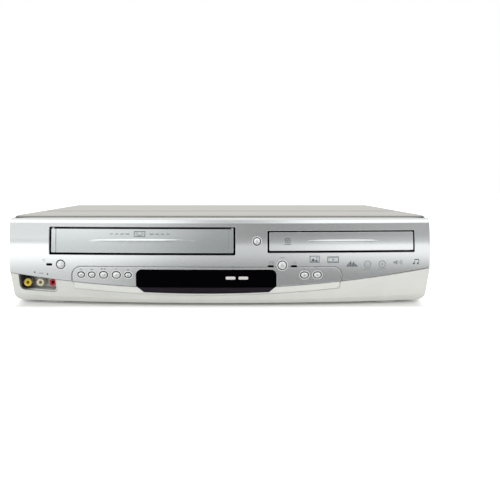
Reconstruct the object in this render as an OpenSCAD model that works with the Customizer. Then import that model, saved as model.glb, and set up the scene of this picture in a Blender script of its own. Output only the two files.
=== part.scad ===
// Disc player and video cassette recorder in one tabletop case.
// Millimetres, +Z up, front towards -Y, origin at the bottom centre of the box that holds the whole part.

/* [Case] */
// Width of the front
case_w = 435; // [430:1:450]
// Height from the table to the top of the cover
case_h = 94; // [93:0.5:98]
// Depth from the foremost line of the front to the rear edge of the cover
case_d = 234; // [230:1:250]
// Gap between the table and the underside of the case
foot_h = 2.5; // [2:0.5:4]
// Plan radius of the bowed front
bow_r = 2365; // [2200:5:3000]
// Thickness of the moulded front pieces
skin = 2.4; // [2.2:0.1:2.6]
// Thickness of the sheet steel
sheet = 1; // [0.8:0.1:1.1]
// Distance from the top of the cover down to the crease, above which the front leans back
crease_drop = 28; // [26:1:30]
// Half the height over which the crease is rounded
crease_soft = 5; // [3:0.5:6]
// Angle that the front leans back above the crease
lean = 5; // [4:0.5:6]
// Radius of the rounded lower front, seen from the side
belly_r = 320; // [280:5:500]
// Radius of the front's rounded top edge
edge_r = 7; // [6:0.5:7]
// Width of the vent slots
vent_w = 2.4; // [2:0.2:3]

/* [Seam between bezel and skirt] */
// Lowest height of the seam
seam_low = 19.6; // [19:0.2:20.4]
// Sideways place of the seam's lowest point
seam_x = -16.5; // [-20:0.5:-13]
// Radius of the seam, seen from the front
seam_r = 1351; // [1300:1:1450]
// How far the skirt slopes back for each millimetre down
skirt_slope = 0.43; // [0.38:0.01:0.48]

/* [Cassette door] */
// Width of the cassette opening
door_open_w = 191.5; // [191:0.1:192]
// Height of the cassette opening
door_open_h = 28.5; // [28:0.1:29]
// Distance from the cassette opening to the top of the cover
door_drop = 11.7; // [11.5:0.1:12]
// Gap between a door or tray front and its opening
door_gap = 2.1; // [1.6:0.1:2.4]
// Thickness of the door and of the tray front
flap_t = 2.2; // [1.8:0.1:2.4]

/* [Disc tray] */
// Width of the tray opening
slot_w = 152.5; // [152:0.1:153.5]
// Height of the tray opening
slot_h = 22.5; // [22:0.1:23]
// Distance from the tray opening to the top of the cover
slot_drop = 15.4; // [15:0.1:15.8]
// Diameter of a disc
disc_d = 120; // [80:1:122]
// Length of the tray
tray_len = 184; // [180:1:190]
// How far the tray comes out
tray_travel = 140; // [120:1:140]
// Module of the tray's rack and gear
tooth_m = 1; // [0.8:0.1:1.2]
// Number of teeth on the tray gear
gear_teeth = 18; // [16:1:20]

/* [Display] */
// Width of the display window
window_w = 143.3; // [142:0.1:144]
// Height of the top edge of the display window, as a share of the case's height
window_top = 0.415; // [0.41:0.001:0.42]
// Width of the raised control panel
panel_w = 278.1; // [276:0.1:280]
// Height of the top edge of the raised control panel, as a share of the case's height
panel_top = 0.45; // [0.446:0.001:0.455]

/* [Buttons] */
// Travel of a button
press = 0.8; // [0.4:0.1:1]
// Gap between a button and its hole
button_gap = 0.8; // [0.4:0.1:0.9]
// How far a button stands out of the front
button_out = 0.9; // [0.4:0.1:1.4]
// Diameter of the power button's hole
power_d = 10.2; // [9:0.1:11]
// Diameter of the output button's hole
output_d = 10.4; // [9:0.1:10.8]
// Diameter of the open and close button's hole
open_d = 9; // [8:0.1:10]
// Height of the row of tape buttons, as a share of the case's height
row_up = 0.3553; // [0.352:0.0001:0.358]

/* [Feet] */
// Diameter of a foot
foot_d = 54; // [40:1:58]
// Distance from the middle of a foot to the side of the case
foot_inset = 42.5; // [34:0.5:57.5]

/* [Sockets] */
// Outer diameter of a phono socket's barrel
barrel_d = 8.3; // [8:0.1:8.6]
// Diameter of a phono socket's centre hole
pin_hole_d = 3.3; // [3.2:0.1:3.6]
// Length of a phono socket's barrel
barrel_l = 9; // [8:0.5:9.5]
// Distance between two sockets of a row
socket_pitch = 13.2; // [12.8:0.1:13.6]
// Depth of the recess that holds the front sockets
cup_depth = 21; // [20:0.5:22]
// How far the rear sockets stand out behind the cover
jack_out = 6; // [5:0.5:8]

/* [Tape deck] */
// Width of a video cassette
cassette_w = 187; // [185:0.5:187.4]
// Thickness of a video cassette
cassette_h = 25; // [24:0.5:25]
// Distance between the two reel hubs of a cassette
reel_pitch = 93; // [90:0.5:94]
// Horizontal travel of the cassette carriage
carriage_in = 50; // [40:1:52]
// Vertical travel of the cassette holder
holder_drop = 23; // [18:1:23]
// Diameter of the head drum
drum_d = 62; // [58:0.5:64]
// Tilt of the head drum
drum_tilt = 6; // [4:0.5:7]
// Diameter of the capstan shaft
capstan_d = 4; // [3:0.5:5]
// Diameter of the pinch roller
pinch_d = 16; // [14:1:18]
// Angle that the pinch arm swings to reach the capstan
pinch_swing = 35; // [20:1:40]

/* [Hidden] */
$fn = 96;

// Clearances that every fit uses
fit = 0.3;
run = 0.1;
big = 500;

// The case and its front
y_front = -(case_d + jack_out) / 2;
y_rear = y_front + case_d;
half_w = case_w / 2;
crease_z = case_h - crease_drop;

// How far the controls spread and rise with the case
wide = case_w / 435;
tall = case_h / 94;

// The two openings, and the spare width that lies beside and between them
spare = case_w - door_open_w - slot_w;
door_x0 = -half_w + 0.46264 * spare;
door_x1 = door_x0 + door_open_w;
door_z1 = case_h - door_drop;
door_z0 = door_z1 - door_open_h;
slot_x1 = half_w - 0.18022 * spare;
slot_x0 = slot_x1 - slot_w;
slot_z1 = case_h - slot_drop;
slot_z0 = slot_z1 - slot_h;
window_x1 = 57.9 * wide;
window_x0 = window_x1 - window_w * wide;
window_z1 = window_top * case_h;
panel_x1 = 125.9 * wide;
panel_x0 = panel_x1 - panel_w * wide;
panel_z1 = panel_top * case_h;
row_z = row_up * case_h;
seam_z0 = seam_low * tall;
y_ends = y_front + bow_r - sqrt(pow(bow_r, 2) - pow(half_w, 2));
lip_y = y_ends + 6.5;
cheek_y = y_ends + 22;
front_top = case_h - 2.5;
ledge_z = front_top - 1.5;
band_z = front_top - edge_r;
front_depth = 60;
skirt_r = 1534;
bevel_r = 1400;
lip_step = 0.6;
groove = 0.9;
groove_d = 1.2;
seam_gap = 0.6;
corner_r = 7;
cover_w = case_w - 2;
inner_w = cover_w - 2 * sheet;
chassis_w = inner_w - 2 * fit;
floor_z = foot_h + sheet;
cover_z0 = foot_h + 1.5;
cover_inner_z = case_h - sheet;
channel_y = y_front + 82;
board_t = 1.6;
board_y = y_front + 23;

// Screws of the cover, the rear panel and the feet
screw_r = 1.5;
screw_z = 14;
screw_ys = [y_front + 90, y_rear - 30];
rear_screw_x = [-half_w + 67.5, 0, half_w - 67.5];
rear_screw_z = case_h - 10;
foot_x = half_w - foot_inset;
foot_ys = [y_front + 52, y_rear - 34];
foot_seat = 1.6;

// Shape of the front, as depth behind its foremost line
function lean_at(z) = z > crease_z + crease_soft ? (z - crease_z) * tan(lean)
    : z < crease_z - crease_soft ? 0
    : tan(lean) * pow(z - crease_z + crease_soft, 2) / (4 * crease_soft);
function belly_at(z) = z > crease_z ? 0 : belly_r - sqrt(pow(belly_r, 2) - pow(crease_z - z, 2));
function bow_at(x, r) = y_front + r - sqrt(pow(r, 2) - pow(x, 2));
function face_y(x, z) = bow_at(x, bow_r) + lean_at(z) + belly_at(z);
function seam_at(x, r) = seam_z0 + seam_r - sqrt(pow(r, 2) - pow(x - seam_x, 2));
function front_section(b) = concat(
    [for (i = [0:8]) let (z = i / 8 * (crease_z - crease_soft)) [belly_at(z) + b, z]],
    [for (i = [1:6]) let (z = crease_z + (i / 3 - 1) * crease_soft) [lean_at(z) + belly_at(z) + b, z]],
    [for (a = [0:15:90]) [lean_at(band_z) + edge_r - (edge_r - b) * cos(a), band_z + (edge_r - b) * sin(a)]],
    [[front_depth, front_top - b], [front_depth, 0]]);

// Depth of the skirt's slope and of the bevel along its lower edge
skirt_top = 48;
skirt_foot_d = 10.9;
bevel_foot_d = 12.9;
bevel_slope = 0.9;
function skirt_section(b) = [[skirt_foot_d + b, foot_h],
    [skirt_foot_d + b - skirt_slope * (skirt_top - foot_h), skirt_top],
    [front_depth, skirt_top], [front_depth, foot_h]];
function bevel_section(b) = [[bevel_foot_d + b, foot_h],
    [bevel_foot_d + b - bevel_slope * (skirt_top - foot_h), skirt_top],
    [front_depth, skirt_top], [front_depth, foot_h]];

// The cassette's path
deck_x = (door_x0 + door_x1) / 2;
cassette_z = door_z0 + fit;
holder_w = cassette_w + 1;
holder_y0 = y_front + 43;
holder_len = 50;
wall_t = 1;
shoe_x = holder_w / 2 + wall_t + 0.4;
shoe_t = 2;
cage_x = shoe_x + shoe_t + 0.4;
cage_t = 1.2;
shoe_y = holder_y0 + 10;
shoe_len = 22;
shoe_pin_r = 2;
shoe_pin_z = cassette_z + 9.9;
shoe_pin_dy = 4;
holder_pin_r = 1.6;
holder_pin_y = shoe_y + shoe_len / 2;
holder_pin_z = cassette_z + 17.9;
rod_z = cassette_z + 28.5;
cage_z = cassette_z + 32.3;
deck_t = 1.5;
deck_z = cassette_z - 30.1;
deck_edge = deck_x + cage_x + cage_t;
deck_top = deck_z + deck_t;
deck_y0 = holder_y0 - 7;
deck_y1 = y_rear - 24;
cassette_in_y = y_front + 139;
reel_y = cassette_in_y - 47;
drum_x = deck_x;
drum_y = cassette_in_y + 8 + drum_d / 2;
capstan_x = deck_x + 52;
capstan_y = cassette_in_y + 22;

// The pinch arm, which stops where its roller meets the capstan
pinch_arm_l = 24;
pinch_pivot = [capstan_x + 21, capstan_y + 17];
pinch_reach = norm([capstan_x - pinch_pivot[0], capstan_y - pinch_pivot[1]]);
pinch_contact = pinch_d / 2 + capstan_d / 2 + fit;
pinch_open = acos((pow(pinch_arm_l, 2) + pow(pinch_reach, 2) - pow(pinch_contact, 2))
    / (2 * pinch_arm_l * pinch_reach));
pinch_angle = atan2(capstan_y - pinch_pivot[1], capstan_x - pinch_pivot[0]) - pinch_open - pinch_swing;
arm_z = deck_top + 2;
pinch_at = [pinch_pivot[0] + pinch_arm_l * cos(pinch_angle), pinch_pivot[1] + pinch_arm_l * sin(pinch_angle)];

// Guide posts as [sideways place, place behind the cassette's rear edge, height]
guide_places = [[-52, 26, 22], [-40, 34, 26], [36, 36, 26], [-66, 24, 20], [68, 27, 20]];

// The door and its hinge, which lies along the chord of the bow
door_w = door_x1 - door_x0 - 2 * door_gap;
door_turn = atan2(bow_at(door_x1, bow_r) - bow_at(door_x0, bow_r), door_x1 - door_x0);
hinge_y = (bow_at(door_x1, bow_r) + bow_at(door_x0, bow_r)) / 2 + 5;
hinge_z = door_z1 + 3.8;
hinge_pin_r = 1.2;
ear_r = 1.8;
ear_t = 2;
lug_gap = door_gap + 0.7;
lug_t = 2.5;
flat_lean = 2.6;
ridge_out = 0.7;
door_lens = [deck_x - 54.4, deck_x + 54.6, door_z0 + 14.6, 3.4];

// The disc loader
tray_x = (slot_x0 + slot_x1) / 2;
tray_w = 132;
tray_t = 6;
tray_z = (slot_z0 + slot_z1) / 2 - 3.85;
tray_lens = [tray_x - 36.4, tray_x + 38.6, slot_z0 + 11.9, 3];
tray_top = tray_z + tray_t;
disc_y = y_front + 76;
loader_y0 = board_y + board_t + 1;
loader_y1 = loader_y0 + 176;
loader_z = tray_z - 17.5;
loader_top = tray_top + 4;
runner = 1.5;
loader_w = tray_w + 2 * runner + 2 * 0.5 + 4;
slot_r = 17;
spin_r = 15;
gear_r = tooth_m * gear_teeth / 2;
backlash = 0.25;
gear_x = tray_x - tray_w / 2 + 9 + gear_r;
gear_y = y_front + 35;
gear_h = 3;
traverse_z = loader_z + 4;
rail_r = 1.5;
rail_dx = 22;
rail_z = tray_z - 3.5;
sled_y0 = disc_y + 16;
sled_len = 22;
motor_h = 18;
loader_motor_x = tray_x - loader_w / 2 + 15;
loader_motor_y = loader_y0 + 42;

// Boards
main_z = 9;
aerial_x = deck_edge + 9.4;
main_x0 = aerial_x - 4.7;
main_x1 = half_w - 11.5;
main_y0 = y_front + 50;
main_y1 = y_rear - 6;
panel_y = y_rear - 1 - sheet;
post_xs = [-150 * wide, -62 * wide, 30 * wide, 108 * wide];
board_top = door_z0 - 3.8;
switch_l = 4.5;
plunger_l = 1;

// Parts on the main board, counted from its left edge: boxes as [x, y, width, depth, height]
// and cans as [x, y, radius, height]
part_boxes = [[16, -45, 34, 26, 3], [60, -40, 22, 22, 2.5], [36, 20, 40, 30, 2.6], [16, 40, 14, 16, 20],
    [96, 30, 16, 46, 12], [126, 70, 18, 8, 22], [126, 52, 8, 20, 22], [80, 70, 12, 12, 9]];
cap_places = [[116, -8, 8, 22], [132, 16, 5, 14], [116, 18, 5, 12], [144, 30, 9, 24], [86, -6, 4, 10],
    [76, 6, 4, 10], [48, -52, 3.5, 9]];

// Buttons as [x, height, width and height of the hole]
power_at = [-163.3 * wide, door_z0 - 10.05];
output_at = [63.7 * wide, 43.5 * tall];
open_at = [min(slot_x0 - 7.2, (door_x1 + slot_x0) / 2 + 5.55), slot_z0 + 11.8];
rewind_at = [-142.1 * wide, row_z];
forward_at = [-131 * wide, row_z];
eject_at = [-118.8 * wide, row_z];
play_at = [-105.6 * wide, row_z];
record_at = [-93.5 * wide, row_z];
disc_stop_at = [86.6 * wide, row_z];
disc_play_at = [99.8 * wide, row_z];
small_oval = [8.4, 7];
wide_oval = [9.8, 8.2];
record_oval = [8.2, 6.4];
disc_oval = [9.6, 7.8];
round_buttons = [[power_at, [power_d, power_d]], [output_at, [output_d, output_d]],
    [open_at, [open_d, open_d]]];
oval_buttons = [[rewind_at, small_oval], [forward_at, small_oval], [eject_at, wide_oval],
    [play_at, wide_oval],
    [record_at, record_oval], [disc_stop_at, disc_oval], [disc_play_at, disc_oval]];
all_buttons = concat(round_buttons, oval_buttons);
lens_places = [[-175.3 * wide, door_z0 - 10.3], [52 * wide, 42.5 * tall], [75.7 * wide, 42.5 * tall]];
lens_size = [6, 2.3];

// The front socket recess
cup_x0 = -half_w + 7.7;
cup_x1 = cup_x0 + 40.6;
cup_z0 = 14.5 * tall;
cup_r = 5;
cup_t = 1.6;
cup_turn = -3;
cup_back = y_ends + cup_depth;
socket_z = cup_z0 + 8.1;
socket_x = (cup_x0 + cup_x1) / 2 + 0.4;
barrel_t = 0.45;

// The rear sockets
rear_face = panel_y + sheet;
rear_jack_x = aerial_x + 29.3;
scart_x = rear_jack_x + 48;
scart_zs = [22, 40];
mains_x = half_w - 23.5;
mains_z = 25;
rear_jack_z = 25;
aerial_z = [20, 40];
aerial_d = 9.5;

// Tools for drawing in the three directions
module across(y0, y1) {
    translate([0, y1, 0]) rotate([90, 0, 0]) linear_extrude(y1 - y0) children();
}
module along(x0, x1) {
    translate([x0, 0, 0]) rotate([90, 0, 90]) linear_extrude(x1 - x0) children();
}
module bowed(r) {
    half = asin((half_w + 8) / r);
    translate([0, y_front + r, 0]) rotate_extrude(angle = 2 * half, start = -90 - half, $fn = 360)
        translate([r, 0]) mirror([1, 0]) children();
}
module slab(w, h, r) {
    square([w - 2 * r, h], center = true);
    square([w, h - 2 * r], center = true);
    for (x = [-1, 1], y = [-1, 1]) translate([x * (w / 2 - r), y * (h / 2 - r)]) circle(r, $fn = 48);
}
module span(x0, x1, z0, z1, r) {
    translate([(x0 + x1) / 2, (z0 + z1) / 2]) slab(x1 - x0, z1 - z0, r);
}
module block(x0, x1, y0, y1, z0, z1) {
    translate([x0, y0, z0]) cube([x1 - x0, y1 - y0, z1 - z0]);
}
module rod(r, z0, z1) {
    translate([0, 0, z0]) cylinder(r = r, h = z1 - z0);
}
module tube(r, hole, z0, z1) {
    difference() {
        rod(r, z0, z1);
        rod(hole, z0 - 1, z1 + 1);
    }
}
module oval(size) {
    long = size[0] - size[1];
    if (long > 0) {
        for (x = [-1, 1]) translate([x * long / 2, 0]) circle(size[1] / 2, $fn = 64);
        square([long, size[1]], center = true);
    } else {
        circle(size[0] / 2, $fn = 64);
    }
}

// The disc whose lower edge is the seam, larger by b
module above_seam(b) {
    translate([seam_x, 0, seam_z0 + seam_r]) rotate([90, 0, 0])
        cylinder(r = seam_r + b, h = big, center = true, $fn = 360);
}
module front_solid(b) {
    bowed(bow_r) polygon(front_section(b));
}
module skirt_solid(b) {
    intersection() {
        bowed(skirt_r) polygon(skirt_section(b));
        bowed(bevel_r) polygon(bevel_section(b));
    }
}
module window_outline(b) {
    left = window_x0 - b;
    right = window_x1 + b;
    intersection() {
        union() {
            span(left, right, 21 * tall, window_z1 + b, 6);
            polygon([[left, 30 * tall], [left, 21.8 * tall], [left + 8, 15 * tall], [left + 9, 5],
                [right - 9, 5], [right - 8, 15 * tall], [right, 21.8 * tall], [right, 30 * tall]]);
        }
        translate([seam_x, seam_z0 + seam_r]) circle(seam_r + 5.7 + b, $fn = 360);
    }
}
module lip_outline(b) {
    intersection() {
        polygon([[panel_x0 + 0.6 - b, 48], [panel_x0 + 2.6 - b, 5], [panel_x1 - 4 + b, 5],
            [panel_x1 - 0.6 + b, 48]]);
        translate([seam_x, seam_z0 + seam_r]) circle(seam_r + 7.2 + b, $fn = 360);
    }
}
module cup_outline(b) {
    translate([(cup_x0 + cup_x1) / 2, cup_z0]) rotate(cup_turn) translate([0, 20])
        slab(cup_x1 - cup_x0 + 2 * b, 40 + 2 * b, cup_r + b);
}

// Case
module top_cover() {
    color("#c8c7c2") difference() {
        intersection() {
            across(lip_y, y_rear) span(-cover_w / 2, cover_w / 2, -40, case_h, corner_r);
            along(-big, big) union() {
                translate([lip_y, cover_z0]) square([case_d, case_h - 3 - cover_z0]);
                translate([lip_y + 3, cover_z0]) square([case_d, case_h - cover_z0]);
                translate([lip_y + 3, case_h - 3]) circle(3);
            }
        }
        intersection() {
            across(lip_y - 1, y_rear + 1)
                span(-inner_w / 2, inner_w / 2, -40, cover_inner_z, corner_r - sheet);
            along(-big, big) union() {
                translate([lip_y + sheet, -50]) square([case_d, case_h - 3 + 50]);
                translate([lip_y + 3, -50]) square([case_d, cover_inner_z + 50]);
                translate([lip_y + 3, case_h - 3]) circle(3 - sheet);
            }
            difference() {
                block(-big, big, lip_y - 2, y_rear + 2, -60, case_h);
                block(13 - half_w, half_w - 13, channel_y - 1, channel_y + 4, cover_inner_z - 1, case_h);
            }
        }
        block(-big, big, lip_y - 1, lip_y + 2, -1, front_top + 0.7);
        block(-big, big, lip_y - 1, cheek_y + fit, -1, ledge_z - 0.6);
        block(-half_w + 14, half_w - 14, channel_y, channel_y + 3, case_h - 1, case_h + 1);
        for (side = [-1, 1], group = [0, 1], i = [0:9])
            translate([side * cover_w / 2, y_front + 70 + group * 80 + i * 5.5, case_h - 42])
                cube([8, vent_w, 22], center = true);
        for (side = [-1, 1], y = screw_ys) translate([side * cover_w / 2, y, screw_z]) rotate([0, 90, 0])
            cylinder(r = screw_r + run, h = 8, center = true);
    }
}
module front_bezel() {
    color("#c9cdcd") difference() {
        intersection() {
            difference() {
                union() {
                    difference() {
                        front_solid(0);
                        intersection() {
                            front_solid(skin);
                            block(-half_w + skin, half_w - skin, y_front - 1, cheek_y + 1, -1, front_top);
                        }
                    }
                    for (x = post_xs) translate([x, 0, panel_z1 + 5]) rotate([-90, 0, 0])
                        rod(2.5, face_y(x, panel_z1 + 5) + skin - 0.5, board_y);
                    door_place() for (x = [-door_w / 2 - lug_gap - lug_t, door_w / 2 + lug_gap])
                        block(x, x + lug_t, -1.5, 3, -3, front_top - skin - hinge_z + 0.2);
                }
                intersection() {
                    across(y_front - 1, cheek_y) difference() {
                        span(panel_x0, panel_x1, -20, panel_z1, 10);
                        span(panel_x0 + groove, panel_x1 - groove, -20, panel_z1 - groove, 10 - groove);
                    }
                    difference() {
                        front_solid(-1);
                        front_solid(groove_d);
                    }
                }
            }
            block(-half_w, half_w, y_front - 1, cheek_y, -1, front_top);
            above_seam(0);
        }
        block(-big, big, lip_y - 0.8, cheek_y + 1, ledge_z, case_h);
        block(-big, big, lip_y + 8, cheek_y + 1, front_top - skin, case_h);
        for (side = [-1, 1]) translate([side * (half_w + inner_w / 2 - fit - 0.8) - half_w, lip_y - 0.8,
            ledge_z - 0.9])
            cube([case_w, case_w, 10]);
        across(y_front - 1, y_front + 20) span(door_x0, door_x1, door_z0, door_z1, 1);
        across(y_front - 1, y_front + 20) span(slot_x0, slot_x1, slot_z0, slot_z1, 1);
        across(y_front - 1, y_front + 14) window_outline(0.2);
        for (b = all_buttons) across(y_front - 1, y_front + 16) translate(b[0]) oval(b[1]);
        for (p = lens_places) across(y_front - 1, y_front + 16) translate(p)
            slab(lens_size[0] + 0.2, lens_size[1] + 0.2, 1);
        door_place() for (side = [-1, 1]) mirror([side > 0 ? 0 : 1, 0, 0]) {
            along(door_w / 2 - ear_t - 1.3, door_w / 2 + lug_gap) circle(ear_r + fit);
            along(door_w / 2, door_w / 2 + lug_gap + 1.5) circle(hinge_pin_r + run);
        }
    }
}
module front_skirt() {
    color("#d8d9d4") difference() {
        intersection() {
            skirt_solid(0);
            across(y_front - 1, cheek_y) span(-half_w, half_w, foot_h, case_h, 7);
        }
        above_seam(seam_gap);
        across(y_front - 1, y_front + 14) lip_outline(0.5);
        intersection() {
            skirt_solid(skin);
            block(-half_w + skin, half_w - skin, y_front - 1, cheek_y + 1, foot_h + skin, case_h);
        }
        across(y_front - 1, y_front + 18) window_outline(0.2);
        across(y_front - 1, cheek_y - 4) cup_outline(0.2);
        block(cup_x0 - 3, cup_x1 + 3, cup_back - 3, cheek_y + 1, 11, case_h);
    }
    color("#d8d9d4") difference() {
        intersection() {
            front_solid(lip_step);
            across(y_front - 1, y_front + 14) lip_outline(0);
        }
        front_solid(lip_step + skin);
        above_seam(seam_gap);
        across(y_front - 1, y_front + 18) window_outline(0.2);
    }
}
module slot_trims() {
    color("#17181a") {
        intersection() {
            front_solid(skin + 0.1);
            across(y_front, y_front + 20) difference() {
                span(door_x0 - 1.2, door_x1 + 1.2, door_z0 - 1.2, door_z1 - 1, 0.5);
                translate([door_x0, door_z0]) square([door_x1 - door_x0, case_h]);
            }
        }
        intersection() {
            front_solid(skin + 0.1);
            across(y_front, y_front + 20) difference() {
                span(slot_x0 - 1.2, slot_x1 + 1.2, slot_z0 - 1.2, slot_z1 + 1.2, 1.5);
                translate([slot_x0, slot_z0]) square([slot_x1 - slot_x0, slot_z1 - slot_z0]);
            }
        }
    }
}
module display_window() {
    fold = 20.4 * tall;
    color("#050306") difference() {
        intersection() {
            across(y_front - 1, y_front + 12) window_outline(0);
            bowed(bow_r) polygon([[belly_at(fold) + fit + 4, 8], [belly_at(fold) + fit, fold],
                [belly_at(30) + fit, 30], [belly_at(42) + fit, 42], [front_depth, 42], [front_depth, 8]]);
        }
        bowed(bow_r) polygon([[belly_at(fold) + 7.3, 5], [belly_at(fold) + 3.3, fold],
            [belly_at(42) + 3.3, 42], [belly_at(42) + 3.3, 50], [front_depth, 50], [front_depth, 5]]);
    }
}
module indicator_lenses() {
    color("#101010") for (p = lens_places)
        across(face_y(p[0], p[1]) + 0.3, face_y(p[0], p[1]) + skin + 1) translate(p)
            slab(lens_size[0], lens_size[1], 1);
}
module base_chassis() {
    color("#a9acad") {
        difference() {
            union() {
                block(-chassis_w / 2, chassis_w / 2, cheek_y + fit, panel_y + sheet, foot_h, floor_z);
                for (side = [-1, 1]) translate([side * (chassis_w - sheet) / 2,
                    (cheek_y + fit + panel_y - fit) / 2, 13])
                    cube([sheet, panel_y - cheek_y - 2 * fit, 2 * (13 - foot_h)], center = true);
            }
            for (x = [-130:14:-30], y = [-30, 10]) block(x, x + vent_w, y, y + 30, foot_h - 1, floor_z + 1);
            for (side = [-1, 1], y = [0, 1]) translate([side * foot_x, foot_ys[y], 0])
                rod(screw_r + run, -1, floor_z + 1);
            for (side = [-1, 1], y = screw_ys) translate([side * chassis_w / 2, y, screw_z])
                rotate([0, 90, 0])
                cylinder(r = screw_r + run, h = 8, center = true);
        }
        for (side = [-1, 1], y = [deck_y0 + 6, deck_y1 - 20]) translate([deck_x + side * 92, y, 0])
            rod(4, floor_z - 0.5, deck_z);
        for (side = [-1, 1], y = [loader_y0 + 12, loader_y1 - 12])
            translate([tray_x + side * (loader_w / 2 - 6), y, 0]) rod(4, floor_z - 0.5, loader_z);
        for (x = [main_x0 + 6, main_x1 - 6], y = [main_y0 + 6, main_y1 - 6]) translate([x, y, 0])
            rod(3, floor_z - 0.5, main_z);
    }
}
module rear_panel() {
    color("#9fa2a3") difference() {
        block(-chassis_w / 2, chassis_w / 2, panel_y, rear_face, floor_z, cover_inner_z - fit);
        for (z = scart_zs) across(panel_y - 1, y_rear) translate([scart_x, z]) slab(49, 15, 0.6);
        across(panel_y - 1, y_rear) translate([mains_x, mains_z]) slab(22, 14, 0.6);
        across(panel_y - 1, y_rear) translate([rear_jack_x, rear_jack_z])
            slab(2 * socket_pitch + 14, 14, 0.6);
        for (z = aerial_z) across(panel_y - 1, y_rear) translate([aerial_x, z]) circle(aerial_d / 2 + 0.6);
        for (x = [27.5:8:131.5]) block(x - half_w, x - half_w + vent_w, panel_y - 1, y_rear, 26, 44);
        for (x = rear_screw_x) translate([x, 0, rear_screw_z]) rotate([90, 0, 0])
            cylinder(r = screw_r + run, h = big, center = true);
        for (side = [-1, 1]) translate([side * chassis_w / 2, 0, cover_inner_z]) rotate([90, 0, 0])
            cylinder(r = 4.4, h = big, center = true, $fn = 4);
    }
}
module feet() {
    color("#b9bab6") for (side = [-1, 1], i = [0, 1]) translate([side * foot_x, foot_ys[i], 0]) difference() {
        rotate_extrude() polygon([[0, 0], [foot_d / 2 - 1.2, 0], [foot_d / 2, 1],
            [foot_d / 2 - 0.6, foot_h], [0, foot_h]]);
        rod(4, -1, foot_seat);
        rod(screw_r + run, 0, foot_h + 1);
    }
}
module screw(head_r, head_h, shank) {
    rotate_extrude() polygon([[0, -head_h], [head_r * 0.6, -head_h], [head_r, -head_h * 0.4], [head_r, 0],
        [screw_r, 0],
        [screw_r, shank], [0, shank]]);
}
module case_screws() {
    color("#8d8f90") {
        for (side = [-1, 1], y = screw_ys) translate([side * cover_w / 2, y, screw_z])
            rotate([0, -side * 90, 0]) screw(3.5, 0.9, 6);
        for (x = rear_screw_x) translate([x, rear_face, rear_screw_z]) rotate([90, 0, 0]) screw(3.5, 1.6, 6);
        for (side = [-1, 1], i = [0, 1]) translate([side * foot_x, foot_ys[i], foot_seat]) screw(3.4, 1.2, 5);
    }
}

// Front sockets
module jack_cup() {
    color("#4b4c48") difference() {
        intersection() {
            across(y_front, cup_back) cup_outline(0);
            skirt_solid(0.8);
            front_solid(skin + 0.2);
            translate([0, 0, 2.4]) above_seam(500);
        }
        intersection() {
            across(y_front - 1, cup_back - cup_t) cup_outline(-cup_t);
            block(-big, big, -big, big, -1, seam_at(cup_x1, seam_r) + 5);
        }
        block(cup_x0 - 5, cup_x1 + 5, y_front - 1, cup_back + 1, seam_at(cup_x1, seam_r) + 5 + cup_t, case_h);
        for (i = [-1:1]) translate([socket_x + i * socket_pitch, 0, socket_z]) rotate([90, 0, 0])
            cylinder(r = barrel_d / 2 + 0.05, h = big, center = true);
    }
}
module front_barrel_places() {
    for (i = [-1:1]) translate([socket_x + i * socket_pitch, cup_back, socket_z]) rotate([90, 0, 0])
        children();
}
module barrel() {
    tube(barrel_d / 2, barrel_d / 2 - barrel_t, -2, barrel_l + cup_t);
}
module insert() {
    tube(barrel_d / 2 - barrel_t, pin_hole_d / 2, -2, barrel_l + cup_t + 0.3);
}
module front_jack_barrels() {
    color("#c9c4b4") front_barrel_places() barrel();
}
module front_insert(i) {
    translate([socket_x + i * socket_pitch, cup_back, socket_z]) rotate([90, 0, 0]) insert();
}
module front_jack_video() {
    color("#e8c92a") front_insert(-1);
}
module front_jack_left() {
    color("#ece7cf") front_insert(0);
}
module front_jack_right() {
    color("#b3202c") front_insert(1);
}

// Boards behind the front
module switch_at(p) {
    translate([p[0], board_y - switch_l / 2, p[1]]) cube([6, switch_l, 6], center = true);
    translate([p[0], board_y - switch_l, p[1]]) rotate([90, 0, 0]) cylinder(r = 1.7, h = plunger_l);
}
module front_board() {
    color("#5c7a3a") {
        block(power_at[0], disc_play_at[0] + 12, board_y, board_y + board_t, 8, board_top);
        block(power_at[0] - 19, power_at[0], board_y, board_y + board_t, power_at[1] - 4.2, board_top);
        block(open_at[0] - 8, open_at[0] + 8, board_y, board_y + board_t, board_top, open_at[1] + 6);
        for (b = all_buttons) switch_at(b[0]);
    }
}
module display_module() {
    color("#2b3b3c") {
        block(window_x0 + 12, window_x1 - 12, board_y - 7, board_y, 20, window_z1 - 2);
        for (x = [window_x0 + 20:12:window_x1 - 20]) block(x, x + 1, board_y - 2, board_y, 17, 20);
    }
}

// Buttons
module button(p, size) {
    cap = [size[0] - 2 * button_gap, size[1] - 2 * button_gap];
    collar = [size[0] + 2, size[1] + 2];
    corners = [for (x = [-0.5, 0.5], z = [-0.5, 0.5]) face_y(p[0] + x * collar[0], p[1] + z * collar[1])];
    back = max(corners) + skin + fit;
    color("#e4e5e3") {
        across(face_y(p[0], p[1]) - button_out, back) translate(p) oval(cap);
        across(back, back + 1) translate(p) oval(collar);
        translate([p[0], back + 0.5, p[1]]) rotate([-90, 0, 0])
            cylinder(r = 1.8, h = board_y - switch_l - plunger_l - press - run - back - 0.5);
    }
}
module power_button() {
    button(power_at, [power_d, power_d]);
}
module open_close_button() {
    button(open_at, [open_d, open_d]);
}
module output_button() {
    button(output_at, [output_d, output_d]);
}
module rewind_button() {
    button(rewind_at, small_oval);
}
module fast_forward_button() {
    button(forward_at, small_oval);
}
module stop_eject_button() {
    button(eject_at, wide_oval);
}
module play_button() {
    button(play_at, wide_oval);
}
module record_button() {
    button(record_at, record_oval);
}
module disc_stop_button() {
    button(disc_stop_at, disc_oval);
}
module disc_play_button() {
    button(disc_play_at, disc_oval);
}

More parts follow.
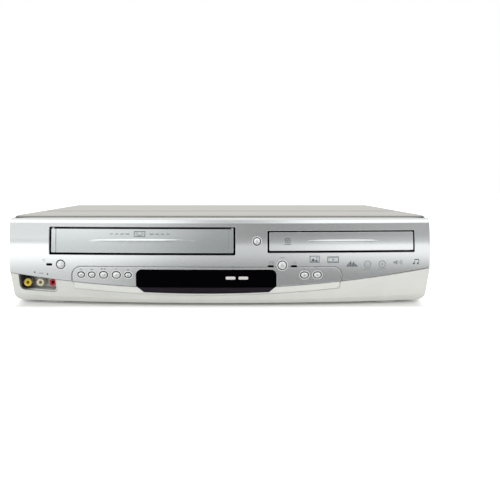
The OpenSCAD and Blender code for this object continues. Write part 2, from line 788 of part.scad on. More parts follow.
// Cassette door
module door_place() {
    translate([deck_x, hinge_y, hinge_z]) rotate([0, 0, door_turn]) children();
}
module flat_front(b, z0, z1) {
    bowed(bow_r) polygon([[0.3 + b, z0 - 5], [0.3 + b + (z1 - z0 + 10) * tan(flat_lean), z1 + 5],
        [front_depth, z1 + 5], [front_depth, z0 - 5]]);
}
// Ridge given as [left end, right end, height of its middle, width of its middle], on a face at
// this depth. It bends more than the bow does, so that its ends sink into the face.
module ridge(lens, depth) {
    middle = (lens[0] + lens[1]) / 2;
    reach = (lens[1] - lens[0]) / 2;
    r = (pow(lens[3] / 2, 2) + pow(ridge_out, 2)) / (2 * ridge_out);
    bend = 1 / (1 / bow_r + 2 * ridge_out / pow(reach, 2));
    half = asin((reach + 4) / bend);
    turn = atan2(bow_at(lens[1], bow_r) - bow_at(lens[0], bow_r), 2 * reach);
    translate([middle, bow_at(middle, bow_r) + depth + r - ridge_out, lens[2]]) rotate([0, 0, turn])
        translate([0, bend, 0]) rotate_extrude(angle = 2 * half, start = -90 - half, $fn = 720)
        translate([bend, 0]) circle(r, $fn = 64);
}
module cassette_door() {
    color("#b9c0c0") {
        difference() {
            intersection() {
                across(y_front - 1, y_ends + 8)
                    span(door_x0 + door_gap, door_x1 - door_gap, door_z0 + door_gap + 0.2,
                    door_z1 - door_gap, 0.8);
                difference() {
                    flat_front(0, door_z0, door_z1);
                    flat_front(flap_t, door_z0 - 1, door_z1 + 1);
                }
            }
            for (x = [door_x0 + door_gap + 4.5, door_x1 - door_gap - 5]) intersection() {
                across(y_front - 1, y_ends + 8) translate([x, door_z0]) square([0.6, door_z1 - door_z0]);
                difference() {
                    flat_front(-1, door_z0, door_z1);
                    flat_front(0.5, door_z0, door_z1);
                }
            }
        }
        difference() {
            ridge(door_lens, 0.3 + (door_lens[2] - door_z0 + 5) * tan(flat_lean));
            flat_front(1, door_z0, door_z1);
        }
        door_place() for (side = [-1, 1]) {
            translate([side * (door_w - ear_t) / 2, 0, 0]) along(-ear_t / 2, ear_t / 2) {
                circle(ear_r);
                polygon([[-0.6, 0], [ear_r, 0], [ear_r, -12], [0.6, -16], [-1.9, -16], [-1.9, -7],
                    [-0.6, -6]]);
            }
            translate([side * (door_w + lug_gap) / 2, 0, 0]) along(-lug_gap / 2 - 0.6, lug_gap / 2 + 0.6)
                circle(hinge_pin_r);
        }
    }
}
module door_spring() {
    color("#9a9c9c") door_place() {
        along(-door_w / 2 - lug_gap, -door_w / 2 - fit) difference() {
            circle(ear_r);
            circle(hinge_pin_r + fit);
        }
        block(-door_w / 2 - lug_gap, -door_w / 2 - lug_gap + 0.5, hinge_pin_r + fit, ear_r, -4, 0);
    }
}

// Tape deck
module deck_plate() {
    color("#b4b6b5") {
        difference() {
            block(deck_x - cage_x - cage_t, deck_x + cage_x + cage_t, deck_y0, deck_y1, deck_z, deck_top);
            translate([capstan_x, capstan_y, 0]) rod(6 + fit, deck_z - 1, deck_top + 1);
            translate([drum_x, drum_y, 0]) rod(12, deck_z - 1, deck_top + 1);
            block(deck_x - 30, deck_x + 30, deck_y0 + 14, reel_y - 24, deck_z - 1, deck_top + 1);
        }
        for (side = [-1, 1]) translate([deck_x + side * reel_pitch / 2, reel_y, 0])
            rod(1.5, deck_top - 0.5, deck_top + 16);
        translate([pinch_pivot[0], pinch_pivot[1], 0]) rod(2, deck_top - 0.5, arm_z + 5);
    }
}
module cassette_cage() {
    color("#a7aaab") {
        for (side = [-1, 1]) difference() {
            translate([deck_x + side * (cage_x + cage_t / 2), 0, 0])
                block(-cage_t / 2, cage_t / 2, holder_y0, holder_y0 + 92, deck_top, cage_z);
            translate([deck_x + side * cage_x, 0, 0]) along(-4, 4)
                span(shoe_y + shoe_pin_dy - shoe_pin_r - fit,
                    shoe_y + shoe_len - shoe_pin_dy + carriage_in + shoe_pin_r + fit,
                    shoe_pin_z - shoe_pin_r - fit, shoe_pin_z + shoe_pin_r + fit, shoe_pin_r);
        }
        for (y = [holder_y0, holder_y0 + 78])
            block(deck_x - cage_x - cage_t, deck_x + cage_x + cage_t, y, y + 14, cage_z, cage_z + wall_t);
    }
}
module carriage_slide() {
    color("#3c3f42") {
        for (side = [-1, 1]) {
            difference() {
                translate([deck_x + side * (shoe_x + shoe_t / 2), 0, 0])
                    block(-shoe_t / 2, shoe_t / 2, shoe_y, shoe_y + shoe_len,
                        holder_pin_z - holder_drop - 8, rod_z + 1);
                translate([deck_x + side * shoe_x, 0, 0]) along(-4, 4)
                    span(holder_pin_y - holder_pin_r - fit, holder_pin_y + holder_pin_r + fit,
                        holder_pin_z - holder_drop - holder_pin_r - fit, holder_pin_z + holder_pin_r + fit,
                            holder_pin_r);
            }
            for (y = [shoe_y + shoe_pin_dy, shoe_y + shoe_len - shoe_pin_dy])
                translate([deck_x + side * (shoe_x + shoe_t + 1), y, shoe_pin_z]) rotate([0, 90, 0])
                    cylinder(r = shoe_pin_r, h = 2.6, center = true);
        }
        translate([deck_x, holder_pin_y, rod_z]) rotate([0, 90, 0])
            cylinder(r = 1.4, h = 2 * shoe_x + 1, center = true);
    }
}
module cassette_holder() {
    top = cassette_z + cassette_h + 0.5;
    color("#8f9294") {
        for (side = [-1, 1]) translate([deck_x, 0, 0]) mirror([side > 0 ? 0 : 1, 0, 0]) {
            block(holder_w / 2, holder_w / 2 + wall_t, holder_y0, holder_y0 + holder_len,
                cassette_z - wall_t, top);
            block(holder_w / 2 - 24, holder_w / 2, holder_y0, holder_y0 + holder_len, cassette_z - wall_t,
                cassette_z);
            block(holder_w / 2 - 8, holder_w / 2, holder_y0 + holder_len - wall_t, holder_y0 + holder_len,
                cassette_z, top);
            translate([holder_w / 2 + wall_t, holder_pin_y, holder_pin_z]) rotate([0, 90, 0])
                cylinder(r = holder_pin_r, h = 2, center = false);
        }
        difference() {
            block(deck_x - holder_w / 2 - wall_t, deck_x + holder_w / 2 + wall_t, holder_y0,
                holder_y0 + holder_len, top, top + wall_t);
            for (x = [deck_x - 45, deck_x + 45]) translate([x, holder_y0 + holder_len / 2, 0])
                cube([60, 26, big], center = true);
        }
    }
}
module at_drum() {
    translate([drum_x, drum_y, deck_top + 9]) rotate([drum_tilt, 0, 0]) children();
}
module drum_base() {
    color("#c2c5c6") difference() {
        union() {
            at_drum() rod(drum_d / 2, 0, 12);
            intersection() {
                at_drum() rod(22, -20, 1);
                block(-big, big, -big, big, deck_top, case_h);
            }
            block(drum_x - 30, drum_x + 30, drum_y - 26, drum_y + 26, deck_top, deck_top + 2);
        }
        at_drum() rod(3 + run, -40, 20);
    }
}
module drum_rotor() {
    color("#dfe2e3") at_drum() {
        difference() {
            rod(drum_d / 2, 12 + fit, 27);
            translate([0, 0, 24]) tube(drum_d / 2 - 6, 9, 0, 10);
            for (a = [0:60:300]) rotate(a) translate([15, 0, 0]) rod(3, 20, 30);
        }
        rod(3, -6, 13);
    }
}
module capstan_motor() {
    color("#54585b") translate([capstan_x, capstan_y, 0]) {
        tube(6, capstan_d / 2 + run, deck_z - 4.4, arm_z + 3);
        tube(10, 5, deck_top, deck_top + 2);
        tube(19, 5, deck_z - 4.4, deck_z);
    }
}
module capstan_flywheel() {
    color("#d7dadb") translate([capstan_x, capstan_y, 0]) {
        rod(capstan_d / 2, deck_z - 10, deck_z + 34);
        rod(22, deck_z - 10, deck_z - 5);
    }
}
module pinch_arm() {
    color("#787c80") translate([pinch_pivot[0], pinch_pivot[1], 0]) rotate(pinch_angle) difference() {
        union() {
            rod(5, arm_z, arm_z + 4);
            translate([0, -3, arm_z]) cube([pinch_arm_l, 6, 3]);
            translate([pinch_arm_l, 0, 0]) rod(4, arm_z, arm_z + 4);
            translate([pinch_arm_l, 0, 0]) rod(1.5, arm_z, arm_z + 30);
        }
        rod(2 + run, arm_z - 1, arm_z + 8);
    }
}
module pinch_roller() {
    color("#222426") translate([pinch_at[0], pinch_at[1], 0])
        tube(pinch_d / 2, 1.5 + run, arm_z + 4 + fit, arm_z + 28);
}
module reel(side) {
    translate([deck_x + side * reel_pitch / 2, reel_y, 0]) difference() {
        union() {
            rod(20, deck_top + fit, deck_top + 3);
            rod(6, deck_top + fit, deck_top + 5);
            rod(4, deck_top + fit, deck_top + 17);
            for (a = [0:120:240]) rotate(a) translate([0, -0.6, deck_top + 4]) cube([5.2, 1.2, 10]);
        }
        rod(1.5 + run, deck_top - 1, deck_top + 16 + fit);
    }
}
module supply_reel() {
    color("#2f3335") reel(-1);
}
module take_up_reel() {
    color("#2f3335") reel(1);
}
module guide_posts() {
    color("#d5d8d9") for (g = guide_places) translate([deck_x + g[0], cassette_in_y + g[1], deck_top])
        rotate_extrude() {
        square([1.5, g[2] + 8]);
        square([5, 2]);
        translate([0, 5]) square([3, g[2] - 2]);
        translate([0, 5]) square([4, 1]);
        translate([0, g[2] + 2]) square([4, 1]);
    }
}
module tape_heads() {
    color("#b9bcbd") {
        block(deck_x + 33, deck_x + 37, capstan_y + 26, capstan_y + 34, deck_top, deck_top + 28);
        block(deck_x + 37, deck_x + 39, capstan_y + 27, capstan_y + 33, deck_top + 14, deck_top + 26);
        block(deck_x - 60, deck_x - 54, capstan_y + 14, capstan_y + 22, deck_top, deck_top + 28);
    }
}
// Motor with a pulley at the end of its shaft
module small_motor(reach) {
    rod(11, 0, motor_h);
    rod(1, motor_h - 1, reach);
    rod(4, reach - 4.5, reach - 0.5);
}
module loading_motors() {
    color("#8b8e90") {
        translate([deck_x - 82, deck_y1 - 26, deck_top]) small_motor(motor_h + 6);
        translate([loader_motor_x, loader_motor_y, loader_z - motor_h]) small_motor(motor_h + 7);
    }
}

// Disc loader
module loader_frame() {
    half = loader_w / 2;
    ledge = tray_w / 2 + 0.4;
    runner_z = tray_z + 1.5;
    color("#2a2c2e") difference() {
        union() {
            block(tray_x - half, tray_x + half, loader_y0, loader_y1, loader_z, loader_z + 2);
            for (side = [-1, 1]) translate([tray_x, 0, 0]) mirror([side > 0 ? 0 : 1, 0, 0]) {
                block(half - 2, half, loader_y0, loader_y1, loader_z, loader_top);
                block(ledge, half, loader_y0, loader_y1, runner_z - 2, runner_z - fit);
                block(ledge, half, loader_y0, loader_y1, runner_z + 2 + fit, runner_z + 3.5);
            }
            block(tray_x - half, tray_x + half, loader_y1 - 2, loader_y1, loader_z, tray_z - 1);
            translate([gear_x, gear_y, 0]) rod(1.5, loader_z, tray_z - fit);
            for (x = [-34, 34], y = [disc_y - 20, disc_y + 70]) translate([tray_x + x, y, 0])
                rod(4, loader_z, traverse_z);
        }
        block(tray_x - 20, tray_x + 20, disc_y - 15, disc_y + 60, loader_z - 1, loader_z + 3);
        translate([loader_motor_x, loader_motor_y, 0]) rod(2, loader_z - 1, loader_z + 3);
    }
}
module disc_tray() {
    slot_y = disc_y;
    rack_x = gear_x - gear_r;
    tooth_n = floor((tray_travel + 22) / (PI * tooth_m));
    color("#3a3c3f") difference() {
        union() {
            intersection() {
                front_solid(flap_t + 0.05);
                block(tray_x - tray_w / 2, tray_x + tray_w / 2, y_front, y_front + 6 + tray_len, tray_z,
                    tray_top);
            }
            for (side = [-1, 1]) translate([tray_x, 0, 0]) mirror([side > 0 ? 0 : 1, 0, 0])
                block(tray_w / 2 - 1, tray_w / 2 + runner, loader_y0 + 2, y_front + 6 + tray_len,
                    tray_z + 1.5, tray_z + 3.5);
            translate([rack_x, gear_y, tray_z - gear_h]) linear_extrude(gear_h + 0.5) rack_profile(tooth_n);
        }
        translate([tray_x, disc_y, 0]) rod(disc_d / 2 + 1, tray_top - 2.2, tray_top + 1);
        translate([tray_x, disc_y, 0]) rod(41, tray_top - 3.2, tray_top + 1);
        translate([tray_x, slot_y, 0]) rod(slot_r, tray_z - 5, tray_top + 1);
        block(tray_x - slot_r, tray_x + slot_r, slot_y, y_rear, tray_z - 5, tray_top + 1);
    }
}
// Rack along Y whose pitch line is x = 0, teeth towards +X; a tooth space faces the gear
module rack_profile(n) {
    pitch = PI * tooth_m;
    half = pitch / 4 - backlash / 2;
    first = -3;
    translate([-tooth_m * 1.25 - 4, (first - 0.5) * pitch]) square([4, n * pitch]);
    for (i = [0:n - 1]) translate([0, (first + i) * pitch]) polygon([
        [-tooth_m * 1.25 - 0.1, -half - tooth_m * 1.25 * tan(20)],
            [tooth_m * 0.9, -half + tooth_m * 0.9 * tan(20)],
        [tooth_m * 0.9, half - tooth_m * 0.9 * tan(20)],
            [-tooth_m * 1.25 - 0.1, half + tooth_m * 1.25 * tan(20)]]);
}
// One flank of an involute tooth, as points at rising radius, turned by its half thickness
function inv(r, base) = let (t = sqrt(max(pow(r / base, 2) - 1, 0))) t * 180 / PI - atan(t);
function flank(r, base, half) = let (a = half + inv(gear_r, base) - inv(r, base)) [r * cos(a), r * sin(a)];
module gear_profile() {
    base = gear_r * cos(20);
    half = 90 / gear_teeth - backlash / 2 / gear_r * 180 / PI;
    outer = gear_r + tooth_m * 0.9;
    root = gear_r - tooth_m * 1.25;
    steps = [for (i = [0:5]) base + (outer - base) * i / 5];
    up = [for (r = steps) flank(r, base, half)];
    circle(root, $fn = 72);
    for (i = [0:gear_teeth - 1]) rotate((i + 0.5) * 360 / gear_teeth + 180)
        polygon(concat([[root - 0.3, up[0][1]]], up, [for (k = [5:-1:0]) [up[k][0], -up[k][1]]],
            [[root - 0.3, -up[0][1]]]));
}
module tray_gear() {
    color("#d8d4c4") translate([gear_x, gear_y, 0]) difference() {
        union() {
            translate([0, 0, tray_z - gear_h - fit]) linear_extrude(gear_h) gear_profile();
            rod(7, loader_z + 2 + fit, tray_z - gear_h - fit);
        }
        rod(1.5 + run, loader_z, tray_z + 5);
    }
}
module tray_front() {
    color("#c4c9c9") {
        intersection() {
            across(y_front - 1, y_ends + 8)
                span(slot_x0 + door_gap - 0.2, slot_x1 - door_gap + 0.4, slot_z0 + door_gap + 0.2,
                slot_z1 - door_gap + 0.6, 0.8);
            difference() {
                front_solid(0);
                front_solid(flap_t);
            }
        }
        difference() {
            ridge(tray_lens, lean_at(tray_lens[2]));
            front_solid(1);
        }
    }
}
module traverse_frame() {
    color("#a3a6a7") {
        difference() {
            block(tray_x - 40, tray_x + 40, disc_y - 28, disc_y + 84, traverse_z, traverse_z + 2);
            block(tray_x - 14, tray_x + 14, disc_y + 18, disc_y + 72, traverse_z - 1, traverse_z + 3);
        }
        for (side = [-1, 1], y = [disc_y + 4, disc_y + 78])
            block(tray_x + side * rail_dx - 3, tray_x + side * rail_dx + 3, y, y + 4, traverse_z, rail_z + 3);
        for (side = [-1, 1]) translate([tray_x + side * rail_dx, 0, rail_z]) rotate([-90, 0, 0])
            rod(rail_r, disc_y + 5, disc_y + 81);
    }
}
module spindle_motor() {
    color("#c6c9ca") translate([tray_x, disc_y, 0]) {
        tube(13, 1.5 + run, traverse_z + 2, tray_z - 2);
        tube(3.5, 1.5 + run, tray_z - 2, tray_z - 0.5);
    }
}
module turntable() {
    color("#1c1d1f") translate([tray_x, disc_y, 0]) {
        rod(spin_r, tray_top - 4, tray_top - 1.6);
        rotate_extrude() polygon([[0, tray_top - 2], [7.45, tray_top - 2], [7.3, tray_top],
            [5.5, tray_top + 0.9], [0, tray_top + 0.9]]);
        rod(5, tray_z, tray_top - 3);
        rod(1.5, traverse_z + 4, tray_z + 1);
    }
}
module optical_pickup() {
    color("#55595c") difference() {
        union() {
            block(tray_x - 27, tray_x + 27, sled_y0, sled_y0 + sled_len, rail_z - 3.5, rail_z + 2.6);
            block(tray_x - 12, tray_x + 12, sled_y0 + 2, sled_y0 + sled_len - 2, rail_z + 2, tray_z + 1.6);
            translate([tray_x, sled_y0 + 9, 0]) rod(3.5, tray_z, tray_z + 2.4);
        }
        for (side = [-1, 1]) translate([tray_x + side * rail_dx, 0, rail_z]) rotate([-90, 0, 0])
            rod(rail_r + run, -big, big);
    }
}
module clamp_bridge() {
    color("#b0b3b4") difference() {
        block(tray_x - loader_w / 2, tray_x + loader_w / 2, disc_y - 24, disc_y + 24, loader_top,
            loader_top + 1.5);
        translate([tray_x, disc_y, 0]) rod(12 + 2 * fit, loader_top - 1, loader_top + 3);
    }
}
module clamp_disc() {
    color("#e9eaea") translate([tray_x, disc_y, 0]) {
        rod(12, tray_top + 1.6, loader_top + 3);
        rod(16, loader_top + 1.5 + fit, loader_top + 3.2);
    }
}

// Boards and rear sockets
module main_board() {
    color("#8a6f3c") difference() {
        block(main_x0, main_x1, main_y0, main_y1, main_z, main_z + board_t);
        for (side = [-1, 1]) translate([tray_x + side * (loader_w / 2 - 6), loader_y1 - 12, 0])
            rod(4 + fit, 0, 20);
    }
}
module board_parts() {
    z = main_z + board_t;
    color("#2e2f31") {
        for (b = part_boxes) block(main_x0 + b[0], main_x0 + b[0] + b[2], b[1], b[1] + b[3], z, z + b[4]);
        for (c = cap_places) translate([main_x0 + c[0], c[1], 0]) rod(c[2], z, z + c[3]);
        block(aerial_x - 8, aerial_x + 8, panel_y - 52, panel_y, z, aerial_z[1] + 7);
    }
}
module power_transformer() {
    z = main_z + board_t;
    color("#c9b458") {
        translate([main_x1 - 23, main_y0 + 29, z]) {
            block(-17, 17, -15, 15, 0, 6);
            block(-13, 13, -13, 13, 6, 22);
            block(-17, 17, -9, 9, 8, 24);
        }
    }
}
module scart() {
    difference() {
        translate([0, -8, 0]) cube([48, 24, 14], center = true);
        across(-6, 5) difference() {
            polygon([[-22, -5], [17, -5], [22, 0], [22, 5], [-22, 5]]);
            square([36, 3.4], center = true);
        }
    }
}
module rear_sockets() {
    color("#191a1b") {
        for (z = scart_zs) translate([scart_x, rear_face, z]) scart();
        difference() {
            union() {
                block(mains_x - 10.5, mains_x + 10.5, panel_y - 18, rear_face + 1.5, mains_z - 6.5,
                    mains_z + 6.5);
                block(mains_x - 13, mains_x + 13, rear_face, rear_face + 1.5, mains_z - 9, mains_z + 9);
            }
            across(rear_face - 11, rear_face + 3) translate([mains_x, mains_z]) {
                for (x = [-1, 1]) translate([x * 3.6, 0]) circle(4.4);
                square([7.2, 7], center = true);
            }
        }
        for (x = [-1, 1]) translate([mains_x + x * 3.6, rear_face - 12, mains_z]) rotate([-90, 0, 0])
            rod(1.2, 0, 9);
        difference() {
            block(rear_jack_x - socket_pitch - 6.5, rear_jack_x + socket_pitch + 6.5, panel_y - 10,
                rear_face + 0.6, rear_jack_z - 6.5, rear_jack_z + 6.5);
            for (i = [-1:1]) translate([rear_jack_x + i * socket_pitch, 0, rear_jack_z]) rotate([90, 0, 0])
                cylinder(r = barrel_d / 2 + 0.05, h = 2 * big, center = true);
        }
    }
}
module rear_jack_barrels() {
    tip = y_rear + jack_out;
    color("#c9c4b4") {
        for (i = [-1:1]) translate([rear_jack_x + i * socket_pitch, tip, rear_jack_z]) rotate([90, 0, 0])
            tube(barrel_d / 2, barrel_d / 2 - barrel_t, 0, 14);
        for (z = aerial_z) translate([aerial_x, tip, z]) rotate([90, 0, 0]) difference() {
            rod(aerial_d / 2, 0, tip - panel_y);
            tube(aerial_d / 2 - 0.6, 1.2, -1, jack_out);
        }
    }
}
module rear_jack_inserts() {
    tip = y_rear + jack_out;
    color("#ece7cf") for (i = [-1:1]) translate([rear_jack_x + i * socket_pitch, tip, rear_jack_z])
        rotate([90, 0, 0])
        tube(barrel_d / 2 - barrel_t, pin_hole_d / 2, 0.2, 14);
}

top_cover();
front_bezel();
front_skirt();
slot_trims();
display_window();
indicator_lenses();
base_chassis();
rear_panel();
feet();
case_screws();
jack_cup();
front_jack_barrels();
front_jack_video();
front_jack_left();
front_jack_right();
front_board();
display_module();
power_button();
open_close_button();
output_button();
rewind_button();
fast_forward_button();
stop_eject_button();
play_button();
record_button();
disc_stop_button();
disc_play_button();
cassette_door();
door_spring();
cassette_cage();
carriage_slide();
cassette_holder();
deck_plate();
drum_base();
drum_rotor();
capstan_motor();
capstan_flywheel();
pinch_arm();
pinch_roller();
supply_reel();
take_up_reel();
guide_posts();
tape_heads();
loading_motors();
loader_frame();
disc_tray();
tray_front();
tray_gear();
traverse_frame();
spindle_motor();
turntable();
optical_pickup();
clamp_bridge();
clamp_disc();
main_board();
board_parts();
power_transformer();
rear_sockets();
rear_jack_barrels();
rear_jack_inserts();
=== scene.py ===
import math
import bmesh
import bpy
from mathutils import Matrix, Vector


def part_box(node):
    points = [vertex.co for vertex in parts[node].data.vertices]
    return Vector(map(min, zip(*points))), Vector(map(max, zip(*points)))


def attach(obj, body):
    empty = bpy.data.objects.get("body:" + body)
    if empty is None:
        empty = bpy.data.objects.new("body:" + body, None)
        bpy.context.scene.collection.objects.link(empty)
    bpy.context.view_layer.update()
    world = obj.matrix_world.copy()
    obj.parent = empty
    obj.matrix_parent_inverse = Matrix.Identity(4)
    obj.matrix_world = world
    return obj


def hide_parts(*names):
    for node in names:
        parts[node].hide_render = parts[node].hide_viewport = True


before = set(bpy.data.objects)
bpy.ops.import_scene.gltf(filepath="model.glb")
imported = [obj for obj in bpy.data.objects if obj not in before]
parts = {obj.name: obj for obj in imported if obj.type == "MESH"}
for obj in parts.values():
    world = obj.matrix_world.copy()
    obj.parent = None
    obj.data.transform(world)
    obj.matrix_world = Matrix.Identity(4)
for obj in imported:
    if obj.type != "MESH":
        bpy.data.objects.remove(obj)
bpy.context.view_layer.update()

bpy.ops.object.select_all(action="DESELECT")

# The camera stands level with its picture plane parallel to the front, a little above the cover.
# The shift alone frames the unit, so that its upright edges stay upright.
camera = bpy.data.objects.new("camera", bpy.data.cameras.new("camera"))
bpy.context.scene.collection.objects.link(camera)
camera.location = (0.0075, -0.6455, 0.12975)
camera.rotation_euler = (math.pi / 2, 0, 0)
camera.data.lens = 37.3
camera.data.shift_x = 0.046
camera.data.shift_y = -0.1388
camera.data.clip_start = 0.01
bpy.context.scene.camera = camera
bpy.context.scene.view_settings.view_transform = "Standard"


# The studio is a white sweep: a pale floor, a soft box overhead and a pale room behind the camera.
# The silver front mirrors that room: dim level with the front and lighter to both sides, over a
# pale table that darkens towards the unit.
class Value:
    """A number that varies over a surface. Arithmetic on it adds Math nodes."""

    def __init__(self, tree, socket):
        self.tree = tree
        self.socket = socket

    def math(self, operation, first, second):
        return self.tree.node("Math", {"operation": operation}, {0: first, 1: second})

    def __add__(self, other):
        return self.math("ADD", self, other)

    def __sub__(self, other):
        return self.math("SUBTRACT", self, other)

    def __rsub__(self, other):
        return self.math("SUBTRACT", other, self)

    def __mul__(self, other):
        return self.math("MULTIPLY", self, other)

    def __gt__(self, other):
        return self.math("GREATER_THAN", self, other)

    def __lt__(self, other):
        return self.math("LESS_THAN", self, other)

    def size(self):
        return self.math("ABSOLUTE", self, 0.0)

    def most(self, other):
        return self.math("MAXIMUM", self, other)

    __radd__ = __add__
    __rmul__ = __mul__


class Tree:
    """A node tree. One method adds any node: its type, its settings, then its sockets."""

    def __init__(self, owner):
        owner.use_nodes = True
        self.nodes = owner.node_tree.nodes
        self.links = owner.node_tree.links

    def node(self, kind, settings=None, sockets=None, out=0):
        new = self.nodes.new("ShaderNode" + kind)
        for name, value in (settings or {}).items():
            setattr(new, name, value)
        for name, value in (sockets or {}).items():
            self.put(new, name, value)
        return Value(self, new.outputs[out])

    def put(self, node, name, value):
        if isinstance(value, Value):
            self.links.new(value.socket, node.inputs[name])
        else:
            node.inputs[name].default_value = value

    def ramp(self, value, low, high, first=0.0, last=1.0):
        return self.node("MapRange", {"interpolation_type": "SMOOTHSTEP"},
                         {0: value, 1: low, 2: high, 3: first, 4: last})

    def axes(self, vector):
        """The three numbers of a place, a direction or a colour."""
        split = self.node("SeparateXYZ", None, {0: vector}).socket.node
        return [Value(self, socket) for socket in split.outputs]


room = bpy.data.worlds.new("room")
bpy.context.scene.world = room
air = Tree(room)
# The parts of the direction looked in: to the right, to the rear and up.
sideways, rearward, level = air.axes(air.node("TexCoord"))
dim_room = ((0.28 + 0.6 * air.ramp(sideways, 0.08, -0.42) + 0.14 * air.ramp(sideways, 0.15, 0.55))
            * (1 + 0.3 * air.ramp(level, 0.045, 0.01))
            * (1 - 0.55 * air.ramp(level, 0.01, -0.05) * air.ramp(sideways, 0.1, -0.02)))
ceiling = 0.58 + 0.75 * air.ramp(sideways, -0.04, -0.16) + 0.75 * air.ramp(sideways, 0.06, 0.25)
lit_room = dim_room + (ceiling - dim_room) * air.ramp(level, 0.14, 0.42)
far_table = 0.78 + 0.8 * air.ramp(sideways, 0.0, -0.35) + 0.5 * air.ramp(sideways, 0.1, 0.38)
near_table = 0.3 + 0.4 * air.ramp(sideways, -0.1, -0.4)
foreground = 0.4 + 0.6 * air.ramp(sideways, -0.1, 0.15)
table = near_table + (far_table - near_table) * air.ramp(level, -0.34, -0.165)
table = table + (foreground - table) * air.ramp(level, -0.62, -0.8)
mirrored = lit_room + (table - lit_room) * air.ramp(level, -0.058, -0.11)
SIDE_WALLS = 0.92
mirrored = SIDE_WALLS + (mirrored - SIDE_WALLS) * air.ramp(rearward, 0.1, -0.3)
to_camera = air.node("LightPath", None, None, "Is Camera Ray")
diffuse = air.node("LightPath", None, None, "Is Diffuse Ray")
glow = diffuse + (1 - diffuse) * mirrored
air.put(air.nodes["Background"], "Strength", glow * (1 - to_camera) + to_camera)
air.put(air.nodes["Background"], "Color", (1, 1, 1, 1))

bpy.ops.mesh.primitive_plane_add(size=8, location=(0, 0, 0))
floor = bpy.context.object
floor.name = "floor"
sweep = Tree(bpy.data.materials.new("floor_white"))
floor.data.materials.append(bpy.data.materials["floor_white"])
coat = sweep.nodes["Principled BSDF"]
for socket, value in (("Base Color", (0.8, 0.8, 0.8, 1)), ("Emission Color", (1, 1, 1, 1)),
                      ("Roughness", 1.0), ("Specular IOR Level", 0.0)):
    sweep.put(coat, socket, value)
# The floor's own glow grows outwards from the edge of the unit's shadow, and is for the camera alone.
SHADOW_SIDE = 0.217
SHADOW_FRONT = 0.12
floor_x, floor_y, _ = sweep.axes(sweep.node("TexCoord", None, None, "Object"))
away = (floor_x.size() - SHADOW_SIDE).most(floor_y.size() - SHADOW_FRONT)
seen = sweep.node("LightPath", None, None, "Is Camera Ray")
sweep.put(coat, "Emission Strength", seen * sweep.ramp(away, -0.016, 0.013, 0.05, 0.75))
floor.visible_glossy = False

soft_box = bpy.data.objects.new("soft_box", bpy.data.lights.new("soft_box", "AREA"))
bpy.context.scene.collection.objects.link(soft_box)
soft_box.data.shape = "RECTANGLE"
soft_box.data.size = 1.6
soft_box.data.size_y = 1.0
soft_box.data.energy = 3
soft_box.location = (-0.1, -0.35, 1.5)
soft_box.rotation_euler = (math.radians(-12), 0, 0)
soft_box.visible_glossy = False


# The chassis is a tray of zinc-plated steel, pressed to shape, with turned standoffs riveted in it.
# The rear panel and the mechanism plates are cut from the same plated sheet.
def ink(red, green, blue):
    """A colour on a 0 to 255 scale, as the linear values that sockets take."""
    return tuple((c / 255 / 12.92) if c <= 10 else ((c / 255 + 0.055) / 1.055) ** 2.4
                 for c in (red, green, blue)) + (1.0,)


def toned(colour, share):
    """The same colour made darker or lighter."""
    return ink(*[min(255, c * share) for c in colour])


class Finish(Tree):
    """A material whose principled shader starts from plain values."""

    def __init__(self, name, colour, roughness, **sockets):
        self.material = bpy.data.materials.new(name)
        super().__init__(self.material)
        self.shader = self.nodes["Principled BSDF"]
        self.feed("Base Color", ink(*colour))
        self.feed("Roughness", roughness)
        for socket, value in sockets.items():
            self.feed(socket.replace("_", " "), value)
        self.where = self.node("TexCoord", None, None, "Object")

    def feed(self, socket, value):
        self.put(self.shader, socket, value)

    def noise(self, scale, detail=2.0):
        return self.node("TexNoise", None, {"Vector": self.where, "Scale": scale, "Detail": detail})

    def cells(self, scale):
        """One random number for each small grain."""
        grains = self.node("TexVoronoi", None, {"Vector": self.where, "Scale": scale}, "Color")
        return self.axes(grains)[0]

    def stretched(self, scale, stretch):
        spread = self.node("Mapping", None, {"Vector": self.where, "Scale": stretch})
        return self.node("TexNoise", None, {"Vector": spread, "Scale": scale, "Detail": 3.0})

    def mix(self, share, first, second):
        blend = self.node("Mix", {"data_type": "RGBA"}, None, 2)
        for name, value in ((0, share), (6, first), (7, second)):
            self.put(blend.socket.node, name, value)
        return blend

    def relief(self, height, depth, edge=0.0, curve=None, match=None):
        """A fine bump over softened edges. Where the surface faces within the match of a curve's
        true direction, that direction is used, so that the flats of the mesh don't show."""
        base = self.node("Bevel", {"samples": 4}, {"Radius": edge}) if edge else None
        if curve:
            true = self.node("VectorMath", {"operation": "NORMALIZE"}, {0: curve})
            near = self.node("VectorMath", {"operation": "DOT_PRODUCT"}, {0: base, 1: true}, 1)
            choice = {0: self.ramp(near, *match), 4: base, 5: true}
            base = self.node("Mix", {"data_type": "VECTOR"}, choice, 1)
        sockets = {"Height": height, "Distance": depth, "Strength": 1.0}
        if base:
            sockets["Normal"] = base
        self.feed("Normal", self.node("Bump", None, sockets))

    def shade_in_gaps(self, colour, depth, floor):
        """Darkens a colour in grooves and gaps as painted shade, the more the less open the surface is
        there.
        """
        open_share = self.node("AmbientOcclusion", {"samples": 6}, {"Distance": depth}, 1)
        return self.mix(self.ramp(open_share, 0.35, 0.9), floor, colour)

    def onto(self, *names):
        for name in names:
            slots = parts[name].data.materials
            slots.clear()
            slots.append(self.material)


def plated(name, colour, roughness, spangle):
    steel = Finish(name, colour, roughness, Metallic=1.0)
    grain = steel.cells(spangle)
    steel.feed("Base Color", steel.mix(grain, toned(colour, 0.9), ink(*colour)))
    steel.feed("Roughness", grain * 0.1 + steel.noise(40, 4) * 0.12 + (roughness - 0.08))
    steel.relief(steel.noise(900), 0.00002, 0.0004)
    return steel


